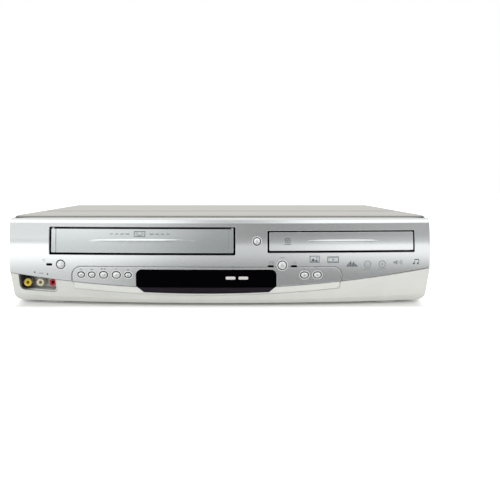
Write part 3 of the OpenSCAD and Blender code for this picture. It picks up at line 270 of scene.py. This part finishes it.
plated("zinc_plate", (190, 192, 194), 0.36, 160).onto(
    "base_chassis", "deck_plate", "cassette_cage", "traverse_frame", "clamp_bridge", "cassette_holder")
plated("rear_plate", (176, 178, 180), 0.42, 260).onto("rear_panel")


# The four feet are moulded in light grey plastic and screwed up through the chassis.
def moulded(name, colour, roughness, grain=1400, depth=0.00003, edge=0.0003, **sockets):
    plastic = Finish(name, colour, roughness, **sockets)
    fine = plastic.noise(grain, 3)
    haze = plastic.mix(plastic.noise(30, 4), toned(colour, 0.96), toned(colour, 1.03))
    plastic.feed("Base Color", haze)
    plastic.feed("Roughness", fine * 0.12 + (roughness - 0.06))
    plastic.relief(fine, depth, edge)
    return plastic


moulded("foot_grey", (186, 188, 184), 0.5).onto("feet")
plated("screw_plate", (168, 170, 172), 0.28, 500).onto("case_screws", "door_spring", "guide_posts")


# The boards are tan paper laminate and green glass laminate with fine copper tracks under the lacquer.
# Their parts are black moulded blocks and cans, soldered in from above.
def laminate(name, colour, track):
    board = Finish(name, colour, 0.38)
    lanes = {"Vector": board.where, "Scale": 260.0, "Mortar Size": 0.012,
             "Color1": ink(*colour), "Color2": toned(colour, 0.94), "Mortar": ink(*track)}
    board.feed("Base Color", board.node("TexBrick", {"offset": 0.37}, lanes))
    board.relief(board.noise(700), 0.00002, 0.0002)
    return board


laminate("board_tan", (172, 142, 86), (196, 172, 108)).onto("main_board")
laminate("board_green", (64, 104, 58), (98, 138, 76)).onto("front_board")
moulded("part_black", (42, 42, 45), 0.45, 1800).onto(
    "board_parts", "loader_frame", "carriage_slide", "supply_reel", "take_up_reel", "turntable",
    "rear_sockets")


# The transformer is a taped winding on a laminated core, clamped by a bracket.
# Its tape shows fine turns.
winding = Finish("winding_tape", (206, 184, 96), 0.42)
turns = winding.axes(winding.node("TexWave", {"bands_direction": "Z"},
                                  {"Vector": winding.where, "Scale": 320.0, "Distortion": 0.6}))[0]
winding.feed("Base Color", winding.mix(turns, ink(186, 160, 72), ink(214, 194, 108)))
winding.relief(turns, 0.00008, 0.0003)
winding.onto("power_transformer")


# The display is a flat glass tube with faint grid lines, in front of the board.
# It is hidden behind the dark window until it lights.
tube_glass = Finish("display_glass", (44, 58, 60), 0.08, Coat_Weight=0.5)
grid = {"Vector": tube_glass.where, "Scale": 420.0, "Mortar Size": 0.02,
        "Color1": ink(44, 58, 60), "Color2": ink(38, 50, 52), "Mortar": ink(90, 98, 96)}
tube_glass.feed("Base Color", tube_glass.node("TexBrick", None, grid))
tube_glass.onto("display_module")


# The drum and the flywheel are turned from aluminium, which leaves rings round their axes.
# The heads, the arm and the motors have a dull plated finish, and the roller is rubber.
def turned(name, colour, centre_piece, roughness):
    low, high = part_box(centre_piece)
    metal = Finish(name, colour, roughness, Metallic=1.0)
    centred = metal.node("Mapping", None, {"Vector": metal.where, "Location": tuple(-(low + high) / 2)})
    rings = metal.axes(metal.node("TexWave", {"wave_type": "RINGS", "rings_direction": "Z"},
                                  {"Vector": centred, "Scale": 700.0, "Distortion": 0.4}))[0]
    metal.feed("Base Color", metal.mix(rings, toned(colour, 0.93), ink(*colour)))
    metal.feed("Roughness", rings * 0.08 + roughness)
    metal.relief(rings, 0.000006, 0.0004)
    return metal


turned("drum_metal", (214, 216, 219), "drum_rotor", 0.2).onto("drum_rotor", "drum_base")
turned("flywheel_metal", (206, 208, 210), "capstan_flywheel", 0.24).onto("capstan_flywheel")
turned("spindle_metal", (206, 208, 210), "spindle_motor", 0.26).onto("spindle_motor")
plated("mechanism_grey", (142, 146, 150), 0.4, 900).onto(
    "capstan_motor", "pinch_arm", "tape_heads", "loading_motors", "optical_pickup")
moulded("roller_rubber", (36, 36, 37), 0.75, 2600, 0.00005).onto("pinch_roller")


# The disc tray, its gear and the clamp puck are moulded.
# The tray's surface is lightly spark-textured, and the gear's teeth are left as they leave the tool.
moulded("tray_grey", (74, 76, 79), 0.5, 2200, 0.00005).onto("disc_tray")
moulded("gear_white", (226, 222, 208), 0.42).onto("tray_gear", "clamp_disc")


# The lower front is moulded in light grey plastic with a fine satin surface.
# It hooks under the upper front, and carries the lip below the control panel.
moulded("skirt_grey", (236, 237, 231), 0.42, 1700, 0.000025, 0.0011).onto("front_skirt")


# The upper front, the cassette door and the tray front are moulded and sprayed with metallic silver.
# The flakes lie flat under a thin clear coat. The whole front is bowed sideways, leans back above a
# soft crease and draws in below it.
BOW_RADIUS = 2.365
BELLY_RADIUS = 0.32
CREASE = 0.066
CREASE_ENDS = (0.063, 0.075)
LEAN = 0.0875


def front_curve(paint):
    """The direction, not yet of length one, in which the front faces at each place."""
    across, _, up = paint.axes(paint.where)
    lean = paint.node("MapRange", None, {0: up, 1: CREASE_ENDS[0], 2: CREASE_ENDS[1], 3: 0.0, 4: LEAN})
    belly = (CREASE - up).most(0.0) * (1 / BELLY_RADIUS)
    return paint.node("CombineXYZ", None, {0: across * (1 / BOW_RADIUS), 1: -1.0, 2: lean - belly})


def silver(name, colour, roughness, edge, metal=0.9, match=None):
    paint = Finish(name, colour, roughness, Metallic=metal, Coat_Weight=0.1, Coat_Roughness=0.15)
    flake = paint.cells(5200)
    tone = paint.mix(flake, toned(colour, 0.965), toned(colour, 1.03))
    # Painted shade: the silver is darkened towards grey in grooves and gaps.
    paint.tone = paint.shade_in_gaps(tone, 0.0015, ink(190, 192, 193))
    paint.feed("Base Color", paint.tone)
    paint.feed("Roughness", paint.noise(18, 3) * 0.03 + flake * 0.03 + (roughness - 0.03))
    paint.relief(flake, 0.0000012, edge, front_curve(paint) if match else None, match)
    return paint


silver("front_silver", (228, 231, 231), 0.17, 0.001, match=(0.9986, 0.9993)).onto("front_bezel")
silver("tray_silver", (228, 231, 231), 0.15, 0.0004, match=(0.9988, 0.9995)).onto("tray_front")
door_paint = silver("door_silver", (230, 236, 236), 0.11, 0.0004)
# The door's arms above its top edge are painted near black, as painted shade behind the upper front.
DOOR_TOP = 0.0811
shaded_arms = door_paint.axes(door_paint.where)[2] > DOOR_TOP
door_paint.feed("Base Color", door_paint.mix(shaded_arms, door_paint.tone, ink(30, 31, 32)))
door_paint.onto("cassette_door")


# The window is smoked plastic with a polished face and a duller strip along its foot.
# The small lenses beside the keys are the same. The frames round the two openings are plain black.
STRIP_TOP = 0.0203
gloss = Finish("window_black", (3, 2, 4), 0.06, Specular_IOR_Level=0.02)
strip = gloss.axes(gloss.where)[2] < STRIP_TOP
gloss.feed("Base Color", gloss.mix(strip, ink(3, 2, 4), ink(42, 37, 44)))
gloss.feed("Roughness", gloss.noise(60, 4) * 0.05 + 0.04 + strip * 0.3)
gloss.onto("display_window")
lens = Finish("lens_black", (14, 12, 13), 0.2, Specular_IOR_Level=0.05)
lens.feed("Roughness", lens.noise(900) * 0.1 + 0.15)
lens.onto("indicator_lenses")
moulded("trim_black", (22, 22, 24), 0.55).onto("slot_trims")


# The ten keys are domed pearl white caps on plungers. Each has a collar that holds it behind the
# front, and stands in its hole with a gap all round; gap and cap rim are painted dark, as painted shade.
COLLAR_EDGE = 0.0018
COLLAR_DEPTH = 0.001
PLUNGER = 0.0036
PLAY = 0.00025
DOME = 0.0012
DOME_STEPS = ((0.1, 0.3), (0.12, 0.25), (0.18, 0.22), (0.22, 0.15), (0.22, 0.08))
BESIDE_CAP = 0.0004


def pick(piece, kind, test):
    """Selects those faces or corners of a piece in edit mode that pass the test."""
    bpy.ops.mesh.select_mode(type="FACE" if kind == "faces" else "VERT")
    bpy.ops.mesh.select_all(action="DESELECT")
    shell = bmesh.from_edit_mesh(piece.data)
    for element in getattr(shell, kind):
        element.select_set(bool(test(element)))
    bmesh.update_edit_mesh(piece.data)


def draw_out(piece, middle, stretch):
    """Parts a round piece at its middle, so that it becomes an oval."""
    for side in (-1, 1):
        pick(piece, "verts", lambda corner: side * (corner.co.x - middle) > 1e-6)
        bpy.ops.transform.translate(value=(side * stretch / 2, 0, 0))


def cap_of(name):
    """The middle, width and height of a key's cap, from its solid less the collar."""
    low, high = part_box(name)
    wide, tall = (span - 2 * (COLLAR_EDGE + PLAY) for span in (high.x - low.x, high.z - low.z))
    return (low + high) / 2, wide, tall


def key(name):
    low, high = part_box(name)
    middle, wide, tall = cap_of(name)
    collar = min(corner.co.y for corner in parts[name].data.vertices
                 if abs(corner.co.x - middle.x) > wide / 2 + BESIDE_CAP)
    bpy.ops.object.select_all(action="DESELECT")
    bpy.ops.mesh.primitive_cylinder_add(vertices=64, radius=tall / 2, depth=collar - low.y - DOME,
                                        location=(middle.x, (collar + low.y + DOME) / 2, middle.z),
                                        rotation=(math.pi / 2, 0, 0))
    cap = bpy.context.object
    cap.name = "cap_" + name
    bpy.ops.object.transform_apply(location=True, rotation=True, scale=True)
    bpy.ops.object.mode_set(mode="EDIT")
    draw_out(cap, middle.x, wide - tall)
    pick(cap, "faces", lambda face: face.normal.y < -0.9)
    for share, lift in DOME_STEPS:
        bpy.ops.mesh.inset(thickness=share * tall / 2, depth=lift * DOME)
    pick(cap, "faces", lambda face: face.normal.y > 0.9)
    centre = (middle.x, collar, middle.z)
    rim_wide, rim_tall = wide + 2 * COLLAR_EDGE, tall + 2 * COLLAR_EDGE
    bpy.ops.mesh.extrude_region_move()
    bpy.ops.transform.resize(value=(rim_wide / wide, 1, rim_tall / tall), center_override=centre)
    bpy.ops.mesh.extrude_region_move(TRANSFORM_OT_translate={"value": (0, COLLAR_DEPTH, 0)})
    bpy.ops.mesh.extrude_region_move()
    bpy.ops.transform.resize(value=(PLUNGER / rim_wide, 1, PLUNGER / rim_tall), center_override=centre)
    plunge = high.y - collar - COLLAR_DEPTH
    bpy.ops.mesh.extrude_region_move(TRANSFORM_OT_translate={"value": (0, plunge, 0)})
    bpy.ops.object.mode_set(mode="OBJECT")
    bpy.ops.object.shade_smooth_by_angle(angle=math.radians(40))
    cap.data.materials.append(cap_white.material)
    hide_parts(name)
    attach(cap, name)
    return cap


cap_white = moulded("button_white", (232, 234, 233), 0.26, 1200, 0.00001, 0.0003, Metallic=0.5)
# Painted shade: the caps darken towards near black at their rims and in the gaps round them.
cap_white.feed("Base Color", cap_white.shade_in_gaps(ink(238, 240, 239), 0.0035, ink(44, 45, 46)))
keys = {name: key(name) for name in (
    "power_button", "open_close_button", "output_button", "rewind_button", "fast_forward_button",
    "stop_eject_button", "play_button", "record_button", "disc_stop_button", "disc_play_button")}


# A fine raised bead runs round each key's hole. Its silver is lighter and less metallic than the
# front's, as a painted highlight, so that it shows as a pale ring.
BEAD = 0.00036
HOLE_GAP = 0.0008 + PLAY
PROBE = 0.003
IN_FRONT = -0.2
bezel = parts["front_bezel"]


def bead(name):
    middle, wide, tall = cap_of(name)
    reach = tall / 2 + HOLE_GAP + PROBE
    right, left, top, bottom = (
        bezel.ray_cast((middle.x + x * reach, IN_FRONT, middle.z + z * reach), (0, 1, 0))[1]
        for x, z in ((1, 0), (-1, 0), (0, 1), (0, -1)))
    turn = math.atan2(right.y - left.y, right.x - left.x)
    tilt = math.atan2(top.y - bottom.y, top.z - bottom.z)
    bpy.ops.object.select_all(action="DESELECT")
    bpy.ops.mesh.primitive_torus_add(major_segments=64, minor_segments=12, rotation=(math.pi / 2, 0, 0),
                                     major_radius=tall / 2 + HOLE_GAP + BEAD / 2, minor_radius=BEAD)
    ring = bpy.context.object
    ring.name = "bead_" + name
    bpy.ops.object.transform_apply(location=True, rotation=True, scale=True)
    bpy.ops.object.mode_set(mode="EDIT")
    draw_out(ring, 0, wide - tall)
    bpy.ops.object.mode_set(mode="OBJECT")
    ring.rotation_euler = (-tilt, 0, turn)
    ring.location = (middle.x, (right.y + left.y + top.y + bottom.y) / 4, middle.z)
    bpy.ops.object.transform_apply(location=True, rotation=True, scale=True)
    bpy.ops.object.shade_smooth()
    ring.data.materials.append(bead_highlight.material)
    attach(ring, "case")


# Painted highlight: the bead's silver is near white and barely metallic.
bead_highlight = silver("bead_highlight", (252, 253, 253), 0.3, 0.0002, 0.1)
for name in keys:
    bead(name)


# The marks on the front are printed in slate and pale grey ink: plain signs for what each key does,
# and plain pictures of what the unit plays. They stand a hair above the paint.
INK_FILM = 0.00006
PRINT_PLANE = -0.13
RING_WIDTH = 0.11
CORNERS = {"bar": 4, "left": 3, "right": 3, "up": 3, "disc": 36, "ring": 36}
TURNS = {"bar": math.pi / 4, "left": math.pi / 2, "right": -math.pi / 2}


def shape(kind, x, z, wide, tall):
    """One flat shape of a mark, facing the front, at its place in millimetres."""
    place = (x / 1000, PRINT_PLANE, z / 1000)
    bpy.ops.mesh.primitive_circle_add(vertices=CORNERS[kind], radius=0.5, fill_type="NGON",
                                      location=place, rotation=(math.pi / 2, 0, 0))
    flat = bpy.context.object
    bpy.ops.object.transform_apply(location=False, rotation=True, scale=True)
    if kind == "ring":
        bpy.ops.object.mode_set(mode="EDIT")
        pick(flat, "faces", lambda face: True)
        bpy.ops.mesh.inset(thickness=RING_WIDTH)
        bpy.ops.mesh.delete(type="FACE")
        bpy.ops.object.mode_set(mode="OBJECT")
    flat.rotation_euler = (0, -TURNS.get(kind, 0), 0)
    bpy.ops.object.transform_apply(location=False, rotation=True, scale=True)
    low, high = (Vector(flat.bound_box[i]) for i in (0, 6))
    flat.scale = (wide / 1000 / (high.x - low.x), 1, tall / 1000 / (high.z - low.z))
    bpy.ops.object.transform_apply(location=True, rotation=True, scale=True)
    return flat


def stamp(name, target, body, colour, place, marks):
    """Prints a mark, given as flat shapes round a place, on a piece of the front."""
    x0, z0 = place
    shapes = [shape(kind, x0 + x, z0 + z, wide, tall) for kind, x, z, wide, tall in marks]
    bpy.ops.object.select_all(action="DESELECT")
    for flat in shapes:
        flat.select_set(True)
    mark = shapes[0]
    bpy.context.view_layer.objects.active = mark
    if len(shapes) > 1:
        bpy.ops.object.join()
    mark.name = "print_" + name
    wrap = mark.modifiers.new("wrap", "SHRINKWRAP")
    wrap.wrap_method = "PROJECT"
    wrap.use_project_y = True
    wrap.target = target
    film = mark.modifiers.new("film", "SOLIDIFY")
    film.thickness = INK_FILM
    film.offset = 1
    bpy.ops.object.modifier_apply(modifier="wrap")
    bpy.ops.object.modifier_apply(modifier="film")
    mark.data.materials.append(colour.material)
    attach(mark, body)


def print_ink(name, colour):
    film = Finish(name, colour, 0.5)
    speckle = film.noise(2600, 3)
    film.feed("Base Color", film.mix(speckle, toned(colour, 0.94), toned(colour, 1.05)))
    film.relief(speckle, 0.000004)
    return film


def boxed(wide, tall):
    """The outline of a box as four bars."""
    line = 0.6
    return [("bar", 0, tall / 2, wide, line), ("bar", 0, -tall / 2, wide, line),
            ("bar", -wide / 2, 0, line, tall + line), ("bar", wide / 2, 0, line, tall + line)]


slate = print_ink("ink_slate", (72, 88, 98))
pale = print_ink("ink_pale", (142, 150, 153))
ON_CAP = 0.8
SIGNS = {
    "rewind_button": [("left", -0.8, 0, 1.5, 1.7), ("left", 0.8, 0, 1.5, 1.7)],
    "fast_forward_button": [("right", -0.8, 0, 1.5, 1.7), ("right", 0.8, 0, 1.5, 1.7)],
    "stop_eject_button": [("bar", -1.7, 0, 1.7, 1.7), ("up", 1.4, 0.35, 2.2, 1.2),
                          ("bar", 1.4, -0.7, 2.2, 0.45)],
    "play_button": [("right", 0, 0, 1.8, 1.9)],
    "record_button": [("disc", 0, 0, 1.8, 1.8)],
    "disc_stop_button": [("bar", 0, 0, 1.7, 1.7)],
    "disc_play_button": [("right", 0, 0, 1.8, 1.9)],
    "open_close_button": [("up", 0, 0.4, 2.6, 1.4), ("bar", 0, -0.8, 2.6, 0.5)],
    "output_button": [("left", -1.7, 0, 1.4, 1.6), ("right", 1.7, 0, 1.4, 1.6), ("bar", 0, 0, 2.4, 0.4)],
}
for name, sign in SIGNS.items():
    low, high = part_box(name)
    middle_x, middle_z, top_z = (low.x + high.x) * 500, (low.z + high.z) * 500, high.z * 1000
    lift = {"open_close_button": 2.4, "output_button": 1.6}.get(name, 0.9)
    stamp(name, bezel, "case", pale, (middle_x, top_z + lift), sign)
    small = [(kind, *(measure * ON_CAP for measure in measures)) for kind, *measures in sign]
    stamp(name + "_cap", keys[name], name, pale, (middle_x, middle_z), small)


def on_front(name, colour, place, marks):
    stamp(name, bezel, "case", colour, place, marks)


on_front("power_sign", pale, (-181.0, 47.6), [("ring", 0, 0, 2.3, 2.3), ("bar", 0, 1.0, 0.4, 1.3)])
on_front("tape_lamp", pale, (52.6, 46.0),
         boxed(4.4, 2.4) + [("disc", x, 0, 0.9, 0.9) for x in (-1.1, 1.1)])
on_front("disc_lamp", pale, (76.0, 46.0), [("ring", 0, 0, 3.0, 3.0), ("disc", 0, 0, 0.7, 0.7)])
on_front("socket_dots", slate, (-184.2, 34.3),
         [("disc", -6.7, 1.0, 1.7, 1.7), ("disc", 6.7, -1.0, 1.7, 1.7), ("bar", 0, 0, 5.0, 0.5)])
on_front("window_mark", pale, (16.0, 40.8), [("bar", 0, 0, 8.0, 0.6)])
hills = [("up", -1.4, -1.1, 4.4, 3.4), ("up", 1.9, -1.6, 3.6, 2.4), ("disc", 2.4, 1.5, 1.3, 1.3)]
on_front("picture_sign", slate, (96.8, 49.6), boxed(9.4, 6.4) + hills)
sprockets = [("bar", x, z, 1.1, 0.8) for x in (-4, -2, 0, 2, 4) for z in (-1.9, 1.9)]
on_front("film_sign", slate, (115.8, 49.0), boxed(11.0, 6.0) + sprockets + [("right", 0, 0, 1.8, 2.0)])
LEVELS = (2.4, 4.4, 5.6, 3.8, 5.0, 3.2, 1.8)
on_front("level_sign", slate, (135.6, 44.4),
         [("bar", 1.6 * (i - 3), -2.8 + tall / 2, 1.1, tall) for i, tall in enumerate(LEVELS)])
for name, x, hub in (("disc_sign", 151.6, ("ring", 0, 0, 2.8, 2.8)),
                     ("small_disc_sign", 167.0, ("disc", 0, 0, 2.0, 2.0))):
    on_front(name, pale, (x, 44.0), [("ring", 0, 0, 7.6, 7.6), hub, ("bar", 0, -5.0, 8.4, 0.6)])
waves = [("bar", 1.6 + 1.5 * i, 0, 0.6, tall) for i, tall in enumerate((2.4, 4.0, 5.4))]
on_front("speaker_sign", pale, (183.0, 45.6),
         [("bar", -3.2, 0, 1.8, 2.2), ("left", -1.2, 0, 3.4, 5.0)] + waves)
on_front("note_sign", slate, (203.0, 46.2),
         [("disc", -2.6, -1.9, 2.2, 1.7), ("disc", 1.6, -1.9, 2.2, 1.7), ("bar", -1.7, 0.3, 0.5, 4.2),
          ("bar", 2.5, 0.3, 0.5, 4.2), ("bar", 0.4, 2.2, 4.7, 0.9)])
stamp("tray_sign", parts["tray_front"], "tray", slate, (69.2, 68.6),
      [("ring", 0, 0, 5.6, 5.6), ("disc", 0, 0, 1.6, 1.6), ("bar", 0, -3.9, 7.0, 0.5)])
hubs = [("ring", x, 0.2, 2.6, 2.6) for x in (-2.7, 2.7)] + [("bar", 0, -1.5, 4.0, 0.5)]
tails = [("bar", side * (12.5 + 5.5 * i), 0, 4.2 - 0.7 * i, 0.7) for side in (-1, 1) for i in range(4)]
stamp("door_sign", parts["cassette_door"], "door", slate, (-81.7, 75.2), boxed(11.0, 5.0) + hubs + tails)


# The clock shows two lit dashes, each a rounded bar of light behind the smoked window.
# The tube's gas glows a little unevenly along them.
def slab(name, middle, size, corner=0.0, edge=0.0):
    """A flat block that faces along Y, with rounded corners and then softened front edges."""
    bpy.ops.object.select_all(action="DESELECT")
    bpy.ops.mesh.primitive_cube_add(size=1, location=middle, scale=size)
    block = bpy.context.object
    block.name = name
    bpy.ops.object.transform_apply(location=True, rotation=True, scale=True)
    bpy.ops.object.mode_set(mode="EDIT")
    if corner:
        bpy.ops.mesh.select_mode(type="EDGE")
        bpy.ops.mesh.select_all(action="DESELECT")
        shell = bmesh.from_edit_mesh(block.data)
        for side in shell.edges:
            side.select_set(abs(side.verts[0].co.y - side.verts[1].co.y) > size[1] / 2)
        bmesh.update_edit_mesh(block.data)
        bpy.ops.mesh.bevel(offset=corner, segments=6)
    if edge:
        pick(block, "faces", lambda face: abs(face.normal.y) > 0.9)
        bpy.ops.mesh.bevel(offset=edge, segments=2)
    bpy.ops.object.mode_set(mode="OBJECT")
    bpy.ops.object.shade_smooth_by_angle(angle=math.radians(35))
    return block


DASH_HEIGHT = 0.0304
DASH_PROBE = 0.0303
DASH_SIZE = (0.01, 0.0004, 0.0031)
lit = Finish("lit_dash", (214, 212, 208), 0.4, Emission_Strength=0.1)
lit.feed("Emission Color", lit.mix(lit.noise(900), ink(196, 194, 190), ink(220, 218, 214)))
for number, x in enumerate((0.0111, 0.0241)):
    face = parts["display_window"].ray_cast((x, IN_FRONT, DASH_PROBE), (0, 1, 0))[1]
    dash = slab("lit_dash_%d" % number, (x, face.y, DASH_HEIGHT), DASH_SIZE, 0.0013, 0.00015)
    dash.data.materials.append(lit.material)
    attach(dash, "case")


# The front sockets stand in a recess: nickel barrels with coloured plastic inserts.
# The recess is moulded in light grey. Towards the unit's side it is painted dark, as a painted
# reflection of the dark room, and its corners are painted darker as painted shade.
PAINTED_SHADE_ENDS = (-0.2035, -0.1905)
cup = moulded("cup_grey", (216, 218, 215), 0.4, 1500)
# Painted reflection: dark towards the unit's side. Painted shade: darker in the corners.
painted_dark_side = cup.mix(cup.ramp(cup.axes(cup.where)[0], *PAINTED_SHADE_ENDS), ink(66, 64, 56), ink(222, 224, 221))
cup.feed("Base Color", cup.shade_in_gaps(painted_dark_side, 0.002, ink(150, 148, 142)))
cup.onto("jack_cup")
plated("jack_metal", (206, 200, 184), 0.24, 700).onto("front_jack_barrels", "rear_jack_barrels")
moulded("jack_yellow", (236, 204, 38), 0.35).onto("front_jack_video")
moulded("jack_cream", (238, 230, 200), 0.35).onto("front_jack_left", "rear_jack_inserts")
moulded("jack_red", (190, 26, 44), 0.35).onto("front_jack_right")


# The cover is bent from sheet steel and powder coated in warm grey, which leaves a fine orange peel.
# It slides on from the rear and is held by two screws a side. Its cross channel is painted darker, as
# painted shade.
CHANNEL_Y = -0.0365
CHANNEL_SIDES = (0.0055, 0.0012)
CHANNEL_ENDS = (0.2065, 0.2015)
COVER_FACE = 0.0905
cover = Finish("cover_paint", (188, 187, 180), 0.5, Specular_IOR_Level=0.25)
across, along, up = cover.axes(cover.where)
# Painted shade: a darker band along the cross channel on the top face.
channel_shade = (cover.ramp((along - CHANNEL_Y).size(), *CHANNEL_SIDES)
        * cover.ramp(across.size(), *CHANNEL_ENDS) * (up > COVER_FACE))
coat_mottle = cover.mix(cover.noise(14, 3), ink(184, 183, 176), ink(190, 189, 182))
peel = cover.noise(1100, 3)
cover.feed("Base Color", cover.mix(channel_shade * 0.7, coat_mottle, ink(116, 115, 110)))
cover.feed("Roughness", peel * 0.14 + 0.44)
cover.relief(peel, 0.00004, 0.0008)
cover.onto("top_cover")


# A grey strip lies on the upper front under the cover's edge, as painted shade: it stands for the
# shaded line of the gap between the two. It is a thin slab with slightly rounded edges.
GAP_STRIP_PLACE = (0, -0.10215, 0.09186)
GAP_STRIP_SIZE = (0.422, 0.0019, 0.00068)
gap_strip = slab("gap_shade_strip", GAP_STRIP_PLACE, GAP_STRIP_SIZE, 0.0, 0.0002)
gap_strip.data.materials.append(moulded("gap_shade_grey", (176, 175, 170), 0.9, 2600, 0.00006).material)
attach(gap_strip, "case")


# Every screw head has a cross for the driver, shown as a thin near black cross laid on the head as
# painted shade of its recess. One cross is modelled and copied to the heads at the sides and the rear.
CROSS = 0.0009
ARM = 0.0014
CROSS_DEPTH = 0.0001
REAR_HEADS = 0.1146
side_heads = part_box("case_screws")[1].x
bpy.ops.object.select_all(action="DESELECT")
bpy.ops.mesh.primitive_cube_add(size=1, scale=(CROSS, CROSS, CROSS_DEPTH))
cross = bpy.context.object
bpy.ops.object.transform_apply(location=True, rotation=True, scale=True)
bpy.ops.object.mode_set(mode="EDIT")
for way in ((1, 0, 0), (-1, 0, 0), (0, 1, 0), (0, -1, 0)):
    outward = Vector(way)

    def central(face):
        middle = face.calc_center_median()
        off_axis = middle - middle.dot(outward) * outward
        return face.normal.dot(outward) > 0.9 and off_axis.length < CROSS / 4

    pick(cross, "faces", central)
    bpy.ops.mesh.extrude_region_move(TRANSFORM_OT_translate={"value": tuple(ARM * outward)})
bpy.ops.object.mode_set(mode="OBJECT")
# Painted shade: the cross is near black and stands for the shaded recess.
cross.data.materials.append(moulded("recess_shade", (38, 39, 41), 0.6, 2000).material)
heads = [((side * side_heads, y, 0.014), (0, math.pi / 2, 0))
         for side in (-1, 1) for y in (-0.03, 0.084)]
heads += [((x, REAR_HEADS, 0.084), (math.pi / 2, 0, 0)) for x in (-0.15, 0.0, 0.15)]
for number, (place, turn) in enumerate(heads):
    copy = cross.copy()
    copy.data = cross.data.copy()
    copy.name = "screw_cross_%d" % number
    bpy.context.scene.collection.objects.link(copy)
    copy.location = place
    copy.rotation_euler = turn
    bpy.ops.object.select_all(action="DESELECT")
    copy.select_set(True)
    bpy.context.view_layer.objects.active = copy
    bpy.ops.object.transform_apply(location=True, rotation=True, scale=True)
    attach(copy, "case")
bpy.data.objects.remove(cross)


# The rear carries a foil plate, stuck on and left without any writing: only ruled lines and a frame.
# The foil is brushed aluminium under a clear film.
LABEL_X, LABEL_Y, LABEL_Z = -0.045, 0.11304, 0.058
RULE_LIFT = 0.00009
foil = Finish("label_foil", (206, 208, 210), 0.34, Metallic=0.6)
brushed = foil.stretched(900, (0.02, 1, 1))
foil.feed("Base Color", foil.mix(brushed, ink(198, 200, 202), ink(214, 216, 218)))
foil.relief(brushed, 0.000004)
plate = slab("rear_label", (LABEL_X, LABEL_Y, LABEL_Z), (0.072, 0.00016, 0.032), 0.0015)
plate.data.materials.append(foil.material)
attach(plate, "case")
border = [(0, 13.5, 66, 0.4), (0, -13.5, 66, 0.4), (-33, 0, 0.4, 27.4), (33, 0, 0.4, 27.4)]
rows = [(-12 - 2 * (row % 2), 8.5 - 5 * row, 36 - 4 * (row % 2), 0.8) for row in range(4)]
stamp_field = [(22, -3, 15, 14)]
for number, (x, z, wide, tall) in enumerate(border + rows + stamp_field):
    rule = slab("rear_rule_%d" % number, (LABEL_X + x / 1000, LABEL_Y + RULE_LIFT, LABEL_Z + z / 1000),
                (wide / 1000, INK_FILM, tall / 1000), min(wide, tall) / 4000)
    rule.data.materials.append(slate.material)
    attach(rule, "case")
